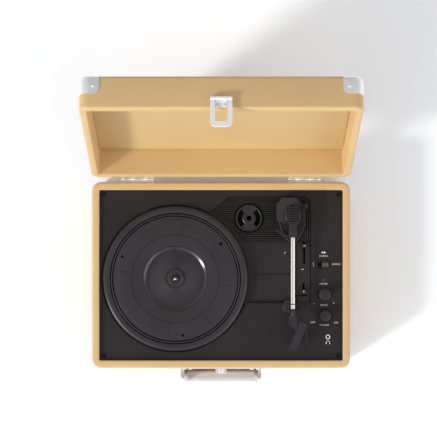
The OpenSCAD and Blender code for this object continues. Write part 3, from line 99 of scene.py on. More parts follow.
# Platter, well and tone arm, in millimetres
platter_low, platter_high = node_box("platter")
PLATTER_X = (platter_low.x + platter_high.x) / 2
PLATTER_Y = -4.6
PLATTER_Z = 78
PLATTER_R = 100
TRAY_R = 102
WELL_RIGHT = 124
WELL_BACK = 108.6
ARM_X = 98.3
ARM_Y = 83
ARM_Z = 92

# Colours, as linear red, green and blue
TAN = (0.688, 0.472, 0.226)
# Darker copy of the case's tan for the lid's lining board: painted shade.
LINING_PAINTED_SHADE_TAN = (0.618, 0.436, 0.209)
DECK_BLACK = (0.0162, 0.0133, 0.0148)
PLATTER_BLACK = (0.0265, 0.0240, 0.0275)
ARM_BLACK = (0.0198, 0.0187, 0.0210)
NICKEL = (0.93, 0.93, 0.915)
BRIGHT = (0.95, 0.945, 0.93)
GRIP_GREY = (0.565, 0.56, 0.555)
# Brown back tone of the grip: painted shade and a painted reflection of the tan case.
GRIP_PAINTED_SHADE = (0.27, 0.205, 0.14)
INK = (0.72, 0.71, 0.69)


# Mesh tools

SHARP = 35  # degrees between faces from which an edge stays sharp
MERGE_M = 1e-6
WELD_MM = 0.002
SOFT_ANGLE = 40
RIDGE_SUNK = 0.2
RIDGE_SHOULDER = (0.28, 0.85)  # shares of a ridge's width and height


def finish_mesh(mesh, sharp):
    """Turns the faces outward, shades them smooth and keeps edges over an angle sharp."""
    work = bmesh.new()
    work.from_mesh(mesh)
    bmesh.ops.remove_doubles(work, verts=work.verts, dist=MERGE_M)
    bmesh.ops.recalc_face_normals(work, faces=work.faces)
    work.to_mesh(mesh)
    work.free()
    for face in mesh.polygons:
        face.use_smooth = True
    mesh.set_sharp_from_angle(angle=radians(sharp))


def made_mesh(name, part, place, sharp):
    """A linked object with a finished mesh made from (verts, faces)."""
    mesh = bpy.data.meshes.new(name)
    mesh.from_pydata([tuple(v) for v in part[0]], [], part[1])
    mesh.transform(place)
    finish_mesh(mesh, sharp)
    obj = bpy.data.objects.new(name, mesh)
    bpy.context.collection.objects.link(obj)
    return obj


def piece(name, part, surface, body="base", place=CASE, sharp=SHARP,
          hides=()):
    """One piece in the case's millimetres, which rides on a body and may stand for CAD nodes."""
    obj = made_mesh(name, part, place, sharp)
    obj.data.materials.append(surface)
    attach(obj, body)
    if hides:
        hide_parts(*hides)
    return obj


def bake_modifiers(obj, sharp):
    """Applies an own piece's modifiers to its mesh."""
    seen = obj.evaluated_get(bpy.context.evaluated_depsgraph_get())
    mesh = bpy.data.meshes.new_from_object(seen)
    old = obj.data
    obj.modifiers.clear()
    obj.data = mesh
    bpy.data.meshes.remove(old)
    finish_mesh(mesh, sharp)


def cut(obj, solids, sharp=SHARP):
    """Cuts closed solids, given as (verts, faces), out of an own piece placed by CASE."""
    cutters = []
    for solid in solids:
        cutter = made_mesh("cutter", solid, CASE, sharp)
        change = obj.modifiers.new("cut", "BOOLEAN")
        change.object = cutter
        change.solver = "EXACT"
        cutters.append(cutter)
    bake_modifiers(obj, sharp)
    for cutter in cutters:
        mesh = cutter.data
        bpy.data.objects.remove(cutter)
        bpy.data.meshes.remove(mesh)


def join(*parts):
    """Several (verts, faces) as one."""
    verts = []
    faces = []
    for part_verts, part_faces in parts:
        start = len(verts)
        verts += part_verts
        faces += [tuple(i + start for i in face) for face in part_faces]
    return verts, faces


def moved(part, move):
    """A (verts, faces) pair with a matrix applied to its points."""
    return [move @ Vector(v) for v in part[0]], part[1]


def placed(part, x, y, z, turn):
    """A (verts, faces) pair turned about the x axis, then moved."""
    return moved(part, Matrix.Translation((x, y, z)) @ Matrix.Rotation(turn, 4, "X"))


def arc(x, z, r, start, end, steps=5):
    """Points on a round stretch, with the angles in degrees."""
    turn = [radians(start + (end - start) * i / steps) for i in range(steps + 1)]
    return [(x + r * cos(a), z + r * sin(a)) for a in turn]


def grid_faces(rows, cols, wrap_rows=False, wrap_cols=False):
    """Faces between rows of points, each row holding cols points."""
    faces = []
    for i in range(rows if wrap_rows else rows - 1):
        for j in range(cols if wrap_cols else cols - 1):
            k = (i + 1) % rows
            m = (j + 1) % cols
            faces.append((i * cols + j, k * cols + j, k * cols + m, i * cols + m))
    return faces


def end_faces(cols, count):
    """Faces that close the first and the last cols of count points."""
    return [tuple(range(cols - 1, -1, -1)), tuple(range(count - cols, count))]


def round_path(w, d, r, steps=10):
    """Corner centres and directions round a rectangle with round corners."""
    path = []
    for sx, sy, start in ((1, 1, 0), (-1, 1, 90), (-1, -1, 180), (1, -1, 270)):
        for i in range(steps + 1):
            a = radians(start + 90 * i / steps)
            path.append((sx * (w / 2 - r), sy * (d / 2 - r), cos(a), sin(a)))
    return path


def swept(path, r, profile, ends):
    """Points of a profile of (inward offset, z) carried round a path of corner radius r; ends
    widens the offsets at the front and back."""
    return [(x + (r - o) * c, y + (r - o * ends) * s, z) for x, y, c, s in path for o, z in profile]


def lathe(profile, steps, x=0, y=0, closed=False):
    """A profile of (radius, z) turned round an upright axis; closed joins its ends."""
    turn = [2 * pi * i / steps for i in range(steps)]
    verts = [(x + r * cos(a), y + r * sin(a), z) for a in turn for r, z in profile]
    return verts, grid_faces(steps, len(profile), wrap_rows=True, wrap_cols=closed)


def ring(x, y, inner, outer, low, high, steps=48):
    """Closed flat ring."""
    profile = [(inner, low), (outer, low), (outer, high), (inner, high)]
    return lathe(profile, steps, x, y, closed=True)


def prism(outline, low, high):
    """Closed solid between two levels over an outline of (x, y)."""
    n = len(outline)
    verts = [(x, y, low) for x, y in outline] + [(x, y, high) for x, y in outline]
    sides = [(i, (i + 1) % n, n + (i + 1) % n, n + i) for i in range(n)]
    return verts, sides + end_faces(n, 2 * n)


def soft_prism(outline_at, low, high, r, steps=3):
    """Closed solid with round top edges; outline_at(inset) gives as many points at each inset."""
    turn = [pi / 2 * i / steps for i in range(1, steps + 1)]
    levels = [(0, low), (0, high - r)]
    levels += [(r - r * cos(a), high - r + r * sin(a)) for a in turn]
    rows = [[(x, y, z) for x, y in outline_at(inset)] for inset, z in levels]
    n = len(rows[0])
    verts = [v for row in rows for v in row]
    return verts, grid_faces(len(rows), n, wrap_cols=True) + end_faces(n, len(verts))


def round_rect(x, y, w, d, r, steps=4):
    """Outline function of a rectangle with round corners, which takes an inset."""
    least_r = 0.05

    def outline(inset=0):
        inner = max(r - inset, least_r)
        path = round_path(w - 2 * inset, d - 2 * inset, inner, steps)
        return [(x + px + inner * c, y + py + inner * s) for px, py, c, s in path]
    return outline


def disc(x, y, r, steps=48):
    """Outline function of a circle, which takes an inset."""
    turn = [2 * pi * i / steps for i in range(steps)]

    def outline(inset=0):
        return [(x + (r - inset) * cos(a), y + (r - inset) * sin(a)) for a in turn]
    return outline


def ridge(points, w, h, z):
    """A low bar with sloped sides that follows a line of (x, y) over a level."""
    wide, tall = RIDGE_SHOULDER
    section = ((0.5, -RIDGE_SUNK), (wide, h * tall), (0, h), (-wide, h * tall), (-0.5, -RIDGE_SUNK))
    verts = []
    last = len(points) - 1
    for i, (x, y) in enumerate(points):
        x0, y0 = points[max(i - 1, 0)]
        x1, y1 = points[min(i + 1, last)]
        length = hypot(x1 - x0, y1 - y0)
        nx, ny = (y0 - y1) / length, (x1 - x0) / length
        verts += [(x + nx * k * w, y + ny * k * w, z + up) for k, up in section]
    cols = len(section)
    return verts, grid_faces(len(points), cols, wrap_cols=True) + end_faces(cols, len(verts))


def dress(nodes, surface, bevel=0.0, segments=2):
    """Gives CAD nodes a material and, where a bevel is named in millimetres, soft edges."""
    for node in nodes.split():
        obj = frame["nodes"][node]
        obj.data.materials.clear()
        obj.data.materials.append(surface)
        if bevel:
            weld = obj.modifiers.new("weld", "WELD")
            weld.merge_threshold = WELD_MM * MM
            soft = obj.modifiers.new("soft_edges", "BEVEL")
            soft.width = bevel * MM
            soft.segments = segments
            soft.limit_method = "ANGLE"
            soft.angle_limit = radians(SOFT_ANGLE)
            soft.harden_normals = True


# Materials. Scales of noise and cells are per metre, and depths of relief are in millimetres.

NOISE_RANGE = (0.3, 0.7)
FLOW_SCALE = 22
DECK_GRAIN = 1700
THREAD_SCALE = 260


class Nodes:
    """A node tree with helpers to fill it."""

    def __init__(self, tree):
        self.tree = tree

    def link(self, out, into):
        self.tree.links.new(out, into)

    def node(self, kind, values=None, **settings):
        """A node with its settings and the values of its sockets."""
        made = self.tree.nodes.new(kind)
        for key, value in settings.items():
            setattr(made, key, value)
        for key, value in (values or {}).items():
            made.inputs[key].default_value = value
        return made

    def span(self, value, low, high, to_low, to_high, kind="LINEAR"):
        """Maps a range of values onto another."""
        ends = {"From Min": low, "From Max": high, "To Min": to_low, "To Max": to_high}
        made = self.node("ShaderNodeMapRange", ends, interpolation_type=kind)
        self.link(value, made.inputs["Value"])
        return made.outputs["Result"]

    def combine(self, kind, a, b):
        made = self.node("ShaderNodeMath", operation=kind)
        for socket, value in zip(made.inputs, (a, b)):
            if isinstance(value, (int, float)):
                socket.default_value = value
            else:
                self.link(value, socket)
        return made.outputs["Value"]

    def mixed(self, factor, first, second):
        """A colour between two."""
        made = self.node("ShaderNodeMix", {6: (*first, 1), 7: (*second, 1)}, data_type="RGBA")
        self.link(factor, made.inputs["Factor"])
        return made.outputs[2]

    def seen(self):
        """1 for rays from the camera and from glossy surfaces, else 0."""
        rays = self.node("ShaderNodeLightPath").outputs
        return self.combine("MAXIMUM", rays["Is Camera Ray"], rays["Is Glossy Ray"])


class Surface(Nodes):
    """A material on the object's own coordinates, with helpers to lay detail into it."""

    def __init__(self, name, rough, metallic=0.0, specular=0.5):
        self.material = bpy.data.materials.new(name)
        self.material.use_nodes = True
        super().__init__(self.material.node_tree)
        self.shader = self.tree.nodes["Principled BSDF"]
        self.shader.inputs["Roughness"].default_value = rough
        self.shader.inputs["Metallic"].default_value = metallic
        self.shader.inputs["Specular IOR Level"].default_value = specular
        place = self.node("ShaderNodeTexCoord")
        self.coords = place.outputs["Object"]
        self.normal = place.outputs["Normal"]

    def part_of(self, vector, axis):
        """One part of a vector."""
        made = self.node("ShaderNodeSeparateXYZ")
        self.link(vector, made.inputs["Vector"])
        return made.outputs[axis]

    def stretched(self, factors):
        """The coordinates scaled along each axis, for brushed or ringed detail."""
        made = self.node("ShaderNodeMapping", {"Scale": factors})
        self.link(self.coords, made.inputs["Vector"])
        return made.outputs["Vector"]

    def noise(self, scale, detail=3.0, roughness=0.55, vector=None):
        values = {"Scale": scale, "Detail": detail, "Roughness": roughness}
        made = self.node("ShaderNodeTexNoise", values)
        self.link(vector or self.coords, made.inputs["Vector"])
        return made.outputs["Fac"]

    def eroded(self, scale):
        """Fine texture of a spark-eroded mould."""
        return self.noise(scale, 3.0, 0.6)

    def cells(self, scale):
        made = self.node("ShaderNodeTexVoronoi", {"Scale": scale}, feature="SMOOTH_F1")
        self.link(self.coords, made.inputs["Vector"])
        return made.outputs["Distance"]

    def bands(self, direction):
        made = self.node("ShaderNodeTexWave", {"Scale": THREAD_SCALE}, bands_direction=direction)
        self.link(self.coords, made.inputs["Vector"])
        return made.outputs["Fac"]

    def vary(self, noise, to_low, to_high):
        """Maps the usual range of a noise onto two values."""
        return self.span(noise, *NOISE_RANGE, to_low, to_high)

    def colour(self, factor, first, second):
        """Base colour between two tints."""
        self.link(self.mixed(factor, first, second), self.shader.inputs["Base Color"])

    def roughness(self, value):
        self.link(value, self.shader.inputs["Roughness"])

    def bump(self, height, depth, strength=1.0):
        made = self.node("ShaderNodeBump", {"Distance": depth * MM, "Strength": strength})
        self.link(height, made.inputs["Height"])
        self.link(made.outputs["Normal"], self.shader.inputs["Normal"])


def tint(colour, factor):
    """A colour made lighter or darker."""
    return tuple(min(1.0, c * factor) for c in colour)


def leatherette(name, colour):
    """Vinyl wrap with a fine pebble grain, darker in its creases, and slow changes of tone."""
    s = Surface(name, 0.5, specular=0.45)
    grain = s.cells(1150)
    fine = s.noise(2600, 2.0)
    slow = s.noise(9, 4.0)
    pebble = s.span(grain, 0.15, 0.75, 1.0, 0.0)
    height = s.combine("ADD", pebble, s.combine("MULTIPLY", fine, 0.35))
    tone = s.combine("ADD", s.vary(slow, 0.25, 0.7), s.combine("MULTIPLY", pebble, 0.3))
    s.colour(tone, tint(colour, 0.90), tint(colour, 1.06))
    s.roughness(s.vary(slow, 0.44, 0.56))
    s.bump(height, 0.05, 0.55)
    return s.material


def moulded(name, colour, rough, grain=2000, depth=0.03, specular=0.4, spread=0.12):
    """Moulded plastic with a spark-eroded texture and faint flow marks."""
    s = Surface(name, rough, specular=specular)
    texture = s.eroded(grain)
    flow = s.noise(FLOW_SCALE)
    s.colour(s.vary(flow, 0.0, 1.0), tint(colour, 1 - spread), tint(colour, 1 + spread))
    slow = s.vary(flow, rough - 0.05, rough + 0.05)
    s.roughness(s.combine("ADD", slow, s.vary(texture, -0.03, 0.03)))
    s.bump(texture, depth)
    return s.material


def sunk_moulding(name, colour, level):
    """Moulded deck with floors below a level that are a little paler than its top."""
    s = Surface(name, 0.48, specular=0.28)
    texture = s.eroded(DECK_GRAIN)
    flow = s.noise(FLOW_SCALE)
    sunk = s.span(s.part_of(s.coords, "Z"), (level - 0.5) * MM, (level + 0.5) * MM, 0.5, 0.0)
    tone = s.combine("ADD", sunk, s.vary(flow, 0.0, 0.25))
    s.colour(tone, tint(colour, 0.86), tint(colour, 1.56))
    s.roughness(s.vary(flow, 0.43, 0.53))
    s.bump(texture, 0.03)
    return s.material


def plated(name, colour, rough, metallic=1.0):
    """Plated or bare metal with fine brush lines and smudges."""
    s = Surface(name, rough, metallic=metallic)
    lines = s.noise(1.0, 2.0, 0.5, s.stretched((60, 900, 900)))
    smudge = s.noise(30, 4.0)
    s.colour(s.vary(smudge, 0.0, 1.0), tint(colour, 0.93), tint(colour, 1.04))
    slow = s.vary(smudge, rough - 0.05, rough + 0.06)
    s.roughness(s.combine("ADD", slow, s.vary(lines, -0.03, 0.03)))
    s.bump(lines, 0.008, 0.5)
    return s.material


def drawn_tube(name, colour, rough):
    """Polished tube with draw lines along it and a duller line on its upper side, a painted
    reflection.
    """
    s = Surface(name, rough, metallic=0.85)
    lines = s.noise(1.0, 2.0, 0.5, s.stretched((900, 30, 900)))
    # Painted reflection: the colour darkens where the surface faces up, standing for the dark
    # overhead seen in the tube.
    upper = s.span(s.part_of(s.normal, "Z"), 0.90, 0.985, 0.0, 1.0)
    tone = s.combine("ADD", upper, s.vary(lines, -0.05, 0.05))
    s.colour(tone, colour, tint(colour, 0.62))
    s.roughness(s.vary(lines, rough - 0.03, rough + 0.03))
    s.bump(lines, 0.006, 0.5)
    return s.material


def grip(name, front, back):
    """Satin grip with painted shade and a painted reflection of the case: browner on the side
    towards the case.
    """
    s = Surface(name, 0.42, specular=0.3)
    texture = s.eroded(1500)
    # Painted shade and reflection: faces turned towards the case get the brown back tone.
    painted_shade_side = s.span(s.part_of(s.normal, "Y"), -0.15, 0.8, 0.0, 1.0)
    s.colour(s.combine("ADD", painted_shade_side, s.vary(texture, -0.03, 0.03)), front, back)
    s.bump(texture, 0.012)
    return s.material


def lamp_lens(name, colour, strength):
    """Faintly lit lens with a fine change of tone."""
    s = Surface(name, 0.25)
    s.colour(s.noise(900, 2.0), tint(colour, 0.8), colour)
    s.shader.inputs["Emission Color"].default_value = (*colour, 1)
    s.shader.inputs["Emission Strength"].default_value = strength
    return s.material


def weave(name, colour):
    """Open black cloth behind the sound slots."""
    s = Surface(name, 0.85, specular=0.2)
    threads = s.combine("MAXIMUM", s.bands("X"), s.bands("Z"))
    s.colour(threads, tint(colour, 0.4), tint(colour, 1.3))
    s.bump(threads, 0.25)
    return s.material


def timber(name, colour):
    """Pine with stretched grain."""
    s = Surface(name, 0.6)
    rings = s.noise(1.0, 5.0, 0.6, s.stretched((300, 300, 14)))
    s.colour(s.span(rings, 0.35, 0.65, 0.0, 1.0), tint(colour, 0.72), tint(colour, 1.05))
    s.bump(rings, 0.06)
    return s.material


wrap = leatherette("wrap_tan", TAN)
# The lining's darker tan is painted shade.
lining_wrap = leatherette("lining_painted_shade_tan", LINING_PAINTED_SHADE_TAN)
cloth = weave("sound_cloth", (0.03, 0.03, 0.03))
pine = timber("pine", (0.58, 0.38, 0.17))

deck_plate = sunk_moulding("deck_plate", DECK_BLACK, DECK_Z - 2)
deck_black = moulded("deck_black", DECK_BLACK, 0.48, DECK_GRAIN, specular=0.28)
well_black = moulded("well_black", tint(DECK_BLACK, 1.35), 0.44, DECK_GRAIN, specular=0.32)
platter_black = moulded("platter_black", PLATTER_BLACK, 0.34, 2200, 0.008)
dish_black = moulded("dish_black", PLATTER_BLACK, 0.2, 2200, 0.003, 0.5)
arm_black = moulded("arm_black", ARM_BLACK, 0.40, depth=0.018)
hood_black = moulded("hood_black", tint(ARM_BLACK, 1.5), 0.38, depth=0.015)
knob_black = moulded("knob_black", tint(ARM_BLACK, 0.95), 0.42, depth=0.015)
# Darker plastic of the neck's ribs, also used as painted shade in the dish.
rib_and_painted_shade_black = moulded("rib_and_painted_shade_black", tint(ARM_BLACK, 0.7), 0.34, depth=0.012)
# Painted shadow: the plate under the arm is much darker than the arm's plastic.
plate_painted_shadow = moulded("plate_painted_shadow", tint(ARM_BLACK, 0.35), 0.5, depth=0.015, specular=0.3)
# Painted highlight: the plate's raised edge is much lighter than the arm's plastic.
plate_edge_painted_highlight = moulded("plate_edge_painted_highlight", tint(ARM_BLACK, 3.0), 0.36, depth=0.015)
# Flat black: painted shade in the grooves and the adapter's cup, and the inlays of the lever strip.
shade_and_inlay_black = moulded("shade_and_inlay_black", (0.003, 0.003, 0.003), 0.7, depth=0.02, specular=0.08)
grip_dark = moulded("grip_dark", (0.16, 0.155, 0.15), 0.4, depth=0.01)
rubber = moulded("rubber", (0.016, 0.016, 0.016), 0.75, 900, 0.05, 0.3)
ink = moulded("ink", INK, 0.6, 2600, 0.006, spread=0.05)
board_green = moulded("board_green", (0.02, 0.12, 0.045), 0.4, 700, spread=0.25)
white_plastic = moulded("white_plastic", (0.72, 0.71, 0.66), 0.4, 1500, 0.015, spread=0.04)
stylus_red = moulded("stylus_red", (0.45, 0.03, 0.02), 0.3, 1800, 0.01)
lamp = lamp_lens("lamp_red", (0.16, 0.025, 0.018), 0.12)
grip_grey = grip("grip_grey", GRIP_GREY, GRIP_PAINTED_SHADE)

nickel = plated("nickel", NICKEL, 0.38, 0.72)
foot_nickel = plated("foot_nickel", tint(NICKEL, 0.72), 0.34, 0.95)
rivet_nickel = plated("rivet_nickel", tint(NICKEL, 0.8), 0.55, 0.5)
bracket_steel = plated("bracket_steel", (0.66, 0.65, 0.63), 0.36, 0.7)
hinge_steel = plated("hinge_steel", (0.86, 0.855, 0.84), 0.3)
latch_white = plated("latch_white", BRIGHT, 0.42, 0.1)
spindle_steel = plated("spindle_steel", (0.68, 0.66, 0.62), 0.27)
dark_steel = plated("dark_steel", (0.022, 0.021, 0.024), 0.35)
can_steel = plated("can_steel", (0.55, 0.55, 0.55), 0.38)
gilt = plated("gilt", (0.80, 0.56, 0.22), 0.24)
bright_tube = drawn_tube("bright_tube", BRIGHT, 0.28)


# Case: base walls, lid shell, lining and corner caps

SLOT_X = 115
SLOT_Z = 37.75
SLOT_W = 33.6
SLOT_H = 4
SLOT_COUNT = 5
SLOT_FLAT = 0.05
CLOTH = 44
CLOTH_R = 4
CLOTH_T = 0.25
CLOTH_EDGE_R = 0.1
CLOTH_SUNK = 0.3
SOCKET_X = 40
SOCKET_Z = 37
SOCKET = (58, 20, 2)  # width, height and corner radius
LINING_GAP = 1.1
LINING_T = 1.1
LINING_R = 2.2
LINING_EDGE_R = 0.7
LINING_SHIFT = -0.3
CAP_T = 0.8
CAP_REACH = 25.5
CAP_RISE = 24.5
CAP_FREE_R = 5
CAP_SHARP = 40
CAP_STEPS = (4, 10, 5)  # of the flats, of the round between them and of the roll
CAP_SHEET = 0.9  # share of a cap's thickness

case_path = round_path(CASE_W, CASE_D, CORNER_R)


def base_shell():
    """Wrapped walls with round rims, sound slots in front and the socket opening at the back."""
    profile = arc(FOOT_EDGE_R, FOOT_H + FOOT_EDGE_R, FOOT_EDGE_R, 270, 180)
    profile += arc(EDGE_R, RIM_Z - EDGE_R, EDGE_R, 180, 90)
    profile += arc(WALL - INNER_EDGE_R, RIM_Z - INNER_EDGE_R, INNER_EDGE_R, 90, 0)
    profile += [(WALL, FOOT_H + BOTTOM_T), (REBATE, FOOT_H + BOTTOM_T), (REBATE, FOOT_H)]
    verts = swept(case_path, CORNER_R, profile, END_WALL / WALL)
    faces = grid_faces(len(case_path), len(profile), wrap_rows=True, wrap_cols=True)
    shell = piece("base_shell", (verts, faces), wrap, "base", hides=["base_frame"])
    cut(shell, sound_slots() + [socket_opening()])


def sound_slots():
    """Cutters of the slots in front of both speakers."""
    slot = prism(round_rect(0, 0, SLOT_W, SLOT_H, SLOT_H / 2 - SLOT_FLAT)(), -END_WALL, END_WALL)
    y = END_WALL / 2 - CASE_D / 2
    rows = [SLOT_Z + (i - (SLOT_COUNT - 1) / 2) * 2 * SLOT_H for i in range(SLOT_COUNT)]
    return [placed(slot, side * SLOT_X, y, z, pi / 2) for side in (-1, 1) for z in rows]


def socket_opening():
    """Cutter of the opening in front of the socket panel."""
    block = prism(round_rect(0, 0, *SOCKET)(), -2 * END_WALL, END_WALL)
    return placed(block, SOCKET_X, CASE_D / 2, SOCKET_Z, pi / 2)


def sound_cloths():
    """Cloth stretched on the inside of the front wall behind each set of slots."""
    y = END_WALL - CASE_D / 2 - CLOTH_SUNK
    sheet = soft_prism(round_rect(0, 0, CLOTH, CLOTH, CLOTH_R), 0, CLOTH_T, CLOTH_EDGE_R)
    for side, name in ((-1, "sound_cloth_left"), (1, "sound_cloth_right")):
        part = placed(sheet, side * SLOT_X, y, SLOT_Z, -pi / 2)
        obj = piece(name, part, cloth, "base")


def lid_shell():
    """Wrapped lid: round rim, walls and a closed top with round edges."""
    profile = [(WALL, LID_INSIDE)]
    profile += arc(WALL - INNER_EDGE_R, LID_Z + INNER_EDGE_R, INNER_EDGE_R, 0, -90)
    profile += arc(EDGE_R, LID_Z + EDGE_R, EDGE_R, 270, 180)
    profile += arc(LID_EDGE_R, LID_TOP - LID_EDGE_R, LID_EDGE_R, 180, 90, 8)
    verts = swept(case_path, CORNER_R, profile, END_WALL / WALL)
    rows = len(case_path)
    cols = len(profile)
    faces = grid_faces(rows, cols, wrap_rows=True)
    faces.append(tuple(i * cols for i in range(rows)))
    faces.append(tuple(i * cols + cols - 1 for i in range(rows)))
    piece("lid_shell", (verts, faces), wrap, "lid", LID, hides=["lid_frame"])


def lid_lining():
    """Covered board laid into the lid, with a thin gap to the walls and soft edges."""
    w = CASE_W - 2 * WALL - LINING_GAP
    d = CASE_D - 2 * END_WALL - LINING_GAP
    outline = round_rect(LINING_SHIFT, 0, w, d, LINING_R)
    board = placed(soft_prism(outline, 0, LINING_T, LINING_EDGE_R), 0, 0, LID_INSIDE, pi)
    piece("lid_lining", board, lining_wrap, "lid", LID, hides=["lid_panel"])


def corner_cap(sx, sy, z_end, up, edge_r):
    """Stamped corner: two sides round the upright edge, a rolled end edge and a face with a round
    free corner. It is drawn as the +x, +y corner with its end at the bottom, then mirrored."""
    r = CORNER_R + CAP_T
    roll = edge_r + CAP_T
    flat = CAP_REACH - CORNER_R
    flats, rounds, rolls = CAP_STEPS
    path = [(flat * i / flats - flat, 0, 0, 1) for i in range(flats)]
    path += [(0, 0, sin(a), cos(a)) for a in (pi / 2 * i / rounds for i in range(rounds + 1))]
    path += [(0, -flat * i / flats, 1, 0) for i in range(1, flats + 1)]
    outer = [(x + r * c, y + r * s) for x, y, c, s in path]
    along = [0.0]
    for (x0, y0), (x1, y1) in zip(outer, outer[1:]):
        along.append(along[-1] + hypot(x1 - x0, y1 - y0))
    turn = [pi / 2 * k / rolls for k in range(rolls + 1)]
    rolled = [(roll - roll * cos(a), roll - roll * sin(a)) for a in turn]
    verts = []
    for (x, y, c, s), way in zip(path, along):
        from_free = CAP_FREE_R - min(way, along[-1] - way, CAP_FREE_R)
        lift = CAP_FREE_R - sqrt(CAP_FREE_R ** 2 - from_free ** 2)
        side = [(0, CAP_RISE + CAP_T - lift), (0, (CAP_RISE + roll) / 2)]
        verts += [(x + (r - o) * c, y + (r - o) * s, h) for o, h in side + rolled]
    rows = len(path)
    cols = len(rolled) + 2
    faces = grid_faces(rows, cols)
    edge = [i * cols + cols - 1 for i in range(rows)]
    middle = r - CAP_REACH - CAP_T + CAP_FREE_R
    free = arc(middle, middle, CAP_FREE_R, 270, 180)
    faces.append(tuple(edge + [len(verts) + k for k in range(len(free))]))
    verts += [(x, y, 0) for x, y in free]
    x_mid = CASE_W / 2 - CORNER_R
    y_mid = CASE_D / 2 - CORNER_R
    verts = [(sx * (x_mid + x), sy * (y_mid + y), z_end + up * (h - CAP_T)) for x, y, h in verts]
    return verts, faces


def corner_caps(name, surface, body, place, z_end, up, edge_r, node):
    """Four stamped caps as one piece of four shells."""
    caps = [corner_cap(sx, sy, z_end, up, edge_r) for sx in (-1, 1) for sy in (-1, 1)]
    obj = piece(name, join(*caps), surface, body, place, hides=[node])
    shell = obj.modifiers.new("thickness", "SOLIDIFY")
    shell.thickness = CAP_T * MM * CAP_SHEET
    shell.offset = -1
    bake_modifiers(obj, CAP_SHARP)


base_shell()
sound_cloths()
lid_shell()
lid_lining()
corner_caps("base_caps", foot_nickel, "base", CASE, FOOT_H, 1, FOOT_EDGE_R, "base_corner_caps")
corner_caps("lid_caps", nickel, "lid", LID, LID_TOP, -1, LID_EDGE_R, "lid_corner_caps")


# CAD pieces that keep their own shape

dress("base_bottom", wrap)
dress("corner_blocks", pine, 0.4)
dress("feet", rubber, 0.5)
dress("base_rivets lid_rivets", rivet_nickel)
dress("base_screws lid_screws handle_pins hinge_pins arm_pin latch_pin", nickel)
dress("hinge_base_leaves hinge_lid_leaves", hinge_steel, 0.25)
dress("latch_catch", nickel, 0.3)
dress("handle_brackets", bracket_steel, 0.3)
dress("latch_plate", latch_white, 0.3)
dress("latch_frame", latch_white, 0.7, 3)
dress("deck", deck_plate, 0.45)
dress("deck_screws", dark_steel, 0.2)
dress("thrust_washer board_posts", white_plastic, 0.2)
dress("motor volume_pot pitch_pot", can_steel, 0.3)
dress("motor_pulley", dark_steel)
dress("belt", rubber)
dress("speaker_left speaker_right", rubber, 0.5)
dress("main_board", board_green)
dress("jack_panel power_inlet source_switch retaining_clip headphone_jack", deck_black, 0.3)
dress("line_sockets", gilt)
dress("power_lamp", lamp)
dress("arm_base", hood_black, 0.6)
dress("headshell cue_lift", arm_black, 0.6)
dress("cue_lever", arm_black, 0.5)
dress("cartridge source_cap speed_lever stop_lever adapter_45", arm_black, 0.35)
dress("arm_tube", bright_tube)
dress("stylus", stylus_red, 0.15)
dress("handle_grip", grip_grey, 1.2, 4)


# Platter and spindle. Profiles hold a radius and a depth below the platter's top.

RIM_PROFILE = [
    (PLATTER_R, 4.6), (PLATTER_R - 0.1, 3.4), (PLATTER_R - 0.5, 2.2), (PLATTER_R - 1.3, 1.25),
    (PLATTER_R - 2.5, 0.55), (96.2, 0.15), (94.6, 0), (91.6, 0.3), (90.7, 0.6), (90.4, 1.0),
]
BEAD_PROFILE = [
    (90.3, 2.2), (89.1, 2.2), (89.0, 1.0), (88.8, 0.5), (88.3, 0.25), (87.7, 0.25), (87.2, 0.5),
    (87.0, 1.0), (86.9, 2.2), (85.7, 2.2), (85.6, 0.9), (85.4, 0.4),
]
FIELD_PROFILE = [
    (84.6, 0.2), (61.0, 0.2), (60.7, 0.7), (60.1, 0.7), (59.8, 0.2),
    (45.2, 0.2), (44.8, 0.3), (44.6, 0.7), (44.5, 3.2),
]
DISH_R = 44.45
DISH_PROFILE = [
    (DISH_R, 0.55), (44.25, 0.25), (43.9, 0.2), (43.5, 0.4), (41.3, 2.0), (40.5, 2.4), (39.6, 2.6),
    (38.4, 2.6), (15.2, 2.6), (14.8, 2.45), (14.4, 1.8), (13.6, 1.5), (9.6, 1.5), (9.2, 1.7),
    (8.8, 1.5), (5.6, 1.5), (4.7, 1.8), (4.2, 2.6),
]
UNDER_Z = PLATTER_Z - 5.4
SKIRT_R = (62.2, 65)
UNDER_R = 97.5
BEARING_R = (4.2, 9.5)
DISC_STEPS = 192
DISH_STEPS = 160
PLATTER_SHARP = 28
SPOKE_COUNT = 8
SPOKE = (71, 0, 18, 0.6, 0.2)  # a cut line: middle, length, width and corner radius
SPOKE_DEPTH = 0.6
HOLE_COUNT = 3
HOLE_AT = 79
HOLE_R = 2.0
HOLE_DEPTH = 8
HOLE_STEPS = 24
CUT_OVER = 1  # how far cutters stand over a surface
MARKS_TURN = 37.5  # degrees to the first line and hole
GROOVE_R = (85.75, 89.15)
# The grooves' dark floors are painted shade.
GROOVE = (1.1, 2.1, 1.5)  # width, and lower and upper depth of the dark floor
# Dark lines of the dish, painted shade at the foot of its lip and round the hub: inner and outer
# radius, lower and upper depth, and steps
DISH_LINES = [(38.5, 39.5, 2.7, 2.5, DISH_STEPS), (11.6, 14.0, 1.6, 1.44, 96)]
SPINDLE_R = 3.6
SPINDLE_FOOT = (0.4, 1)  # inset and height of its lower edge
SPINDLE_STEPS = 48
# Upper end of the spindle: radius and depth below its tip
SPINDLE_TIP = [(0, 0), (0.7, 0.12), (1.25, 0.55), (3.1, 4.6), (3.5, 5.6), (SPINDLE_R, 6.6)]


def below(level, profile):
    """A profile's depths as levels."""
    return [(r, level - depth) for r, depth in profile]


def spread(count):
    """Angles of equal marks round the platter."""
    return [radians(MARKS_TURN + 360 / count * i) for i in range(count)]


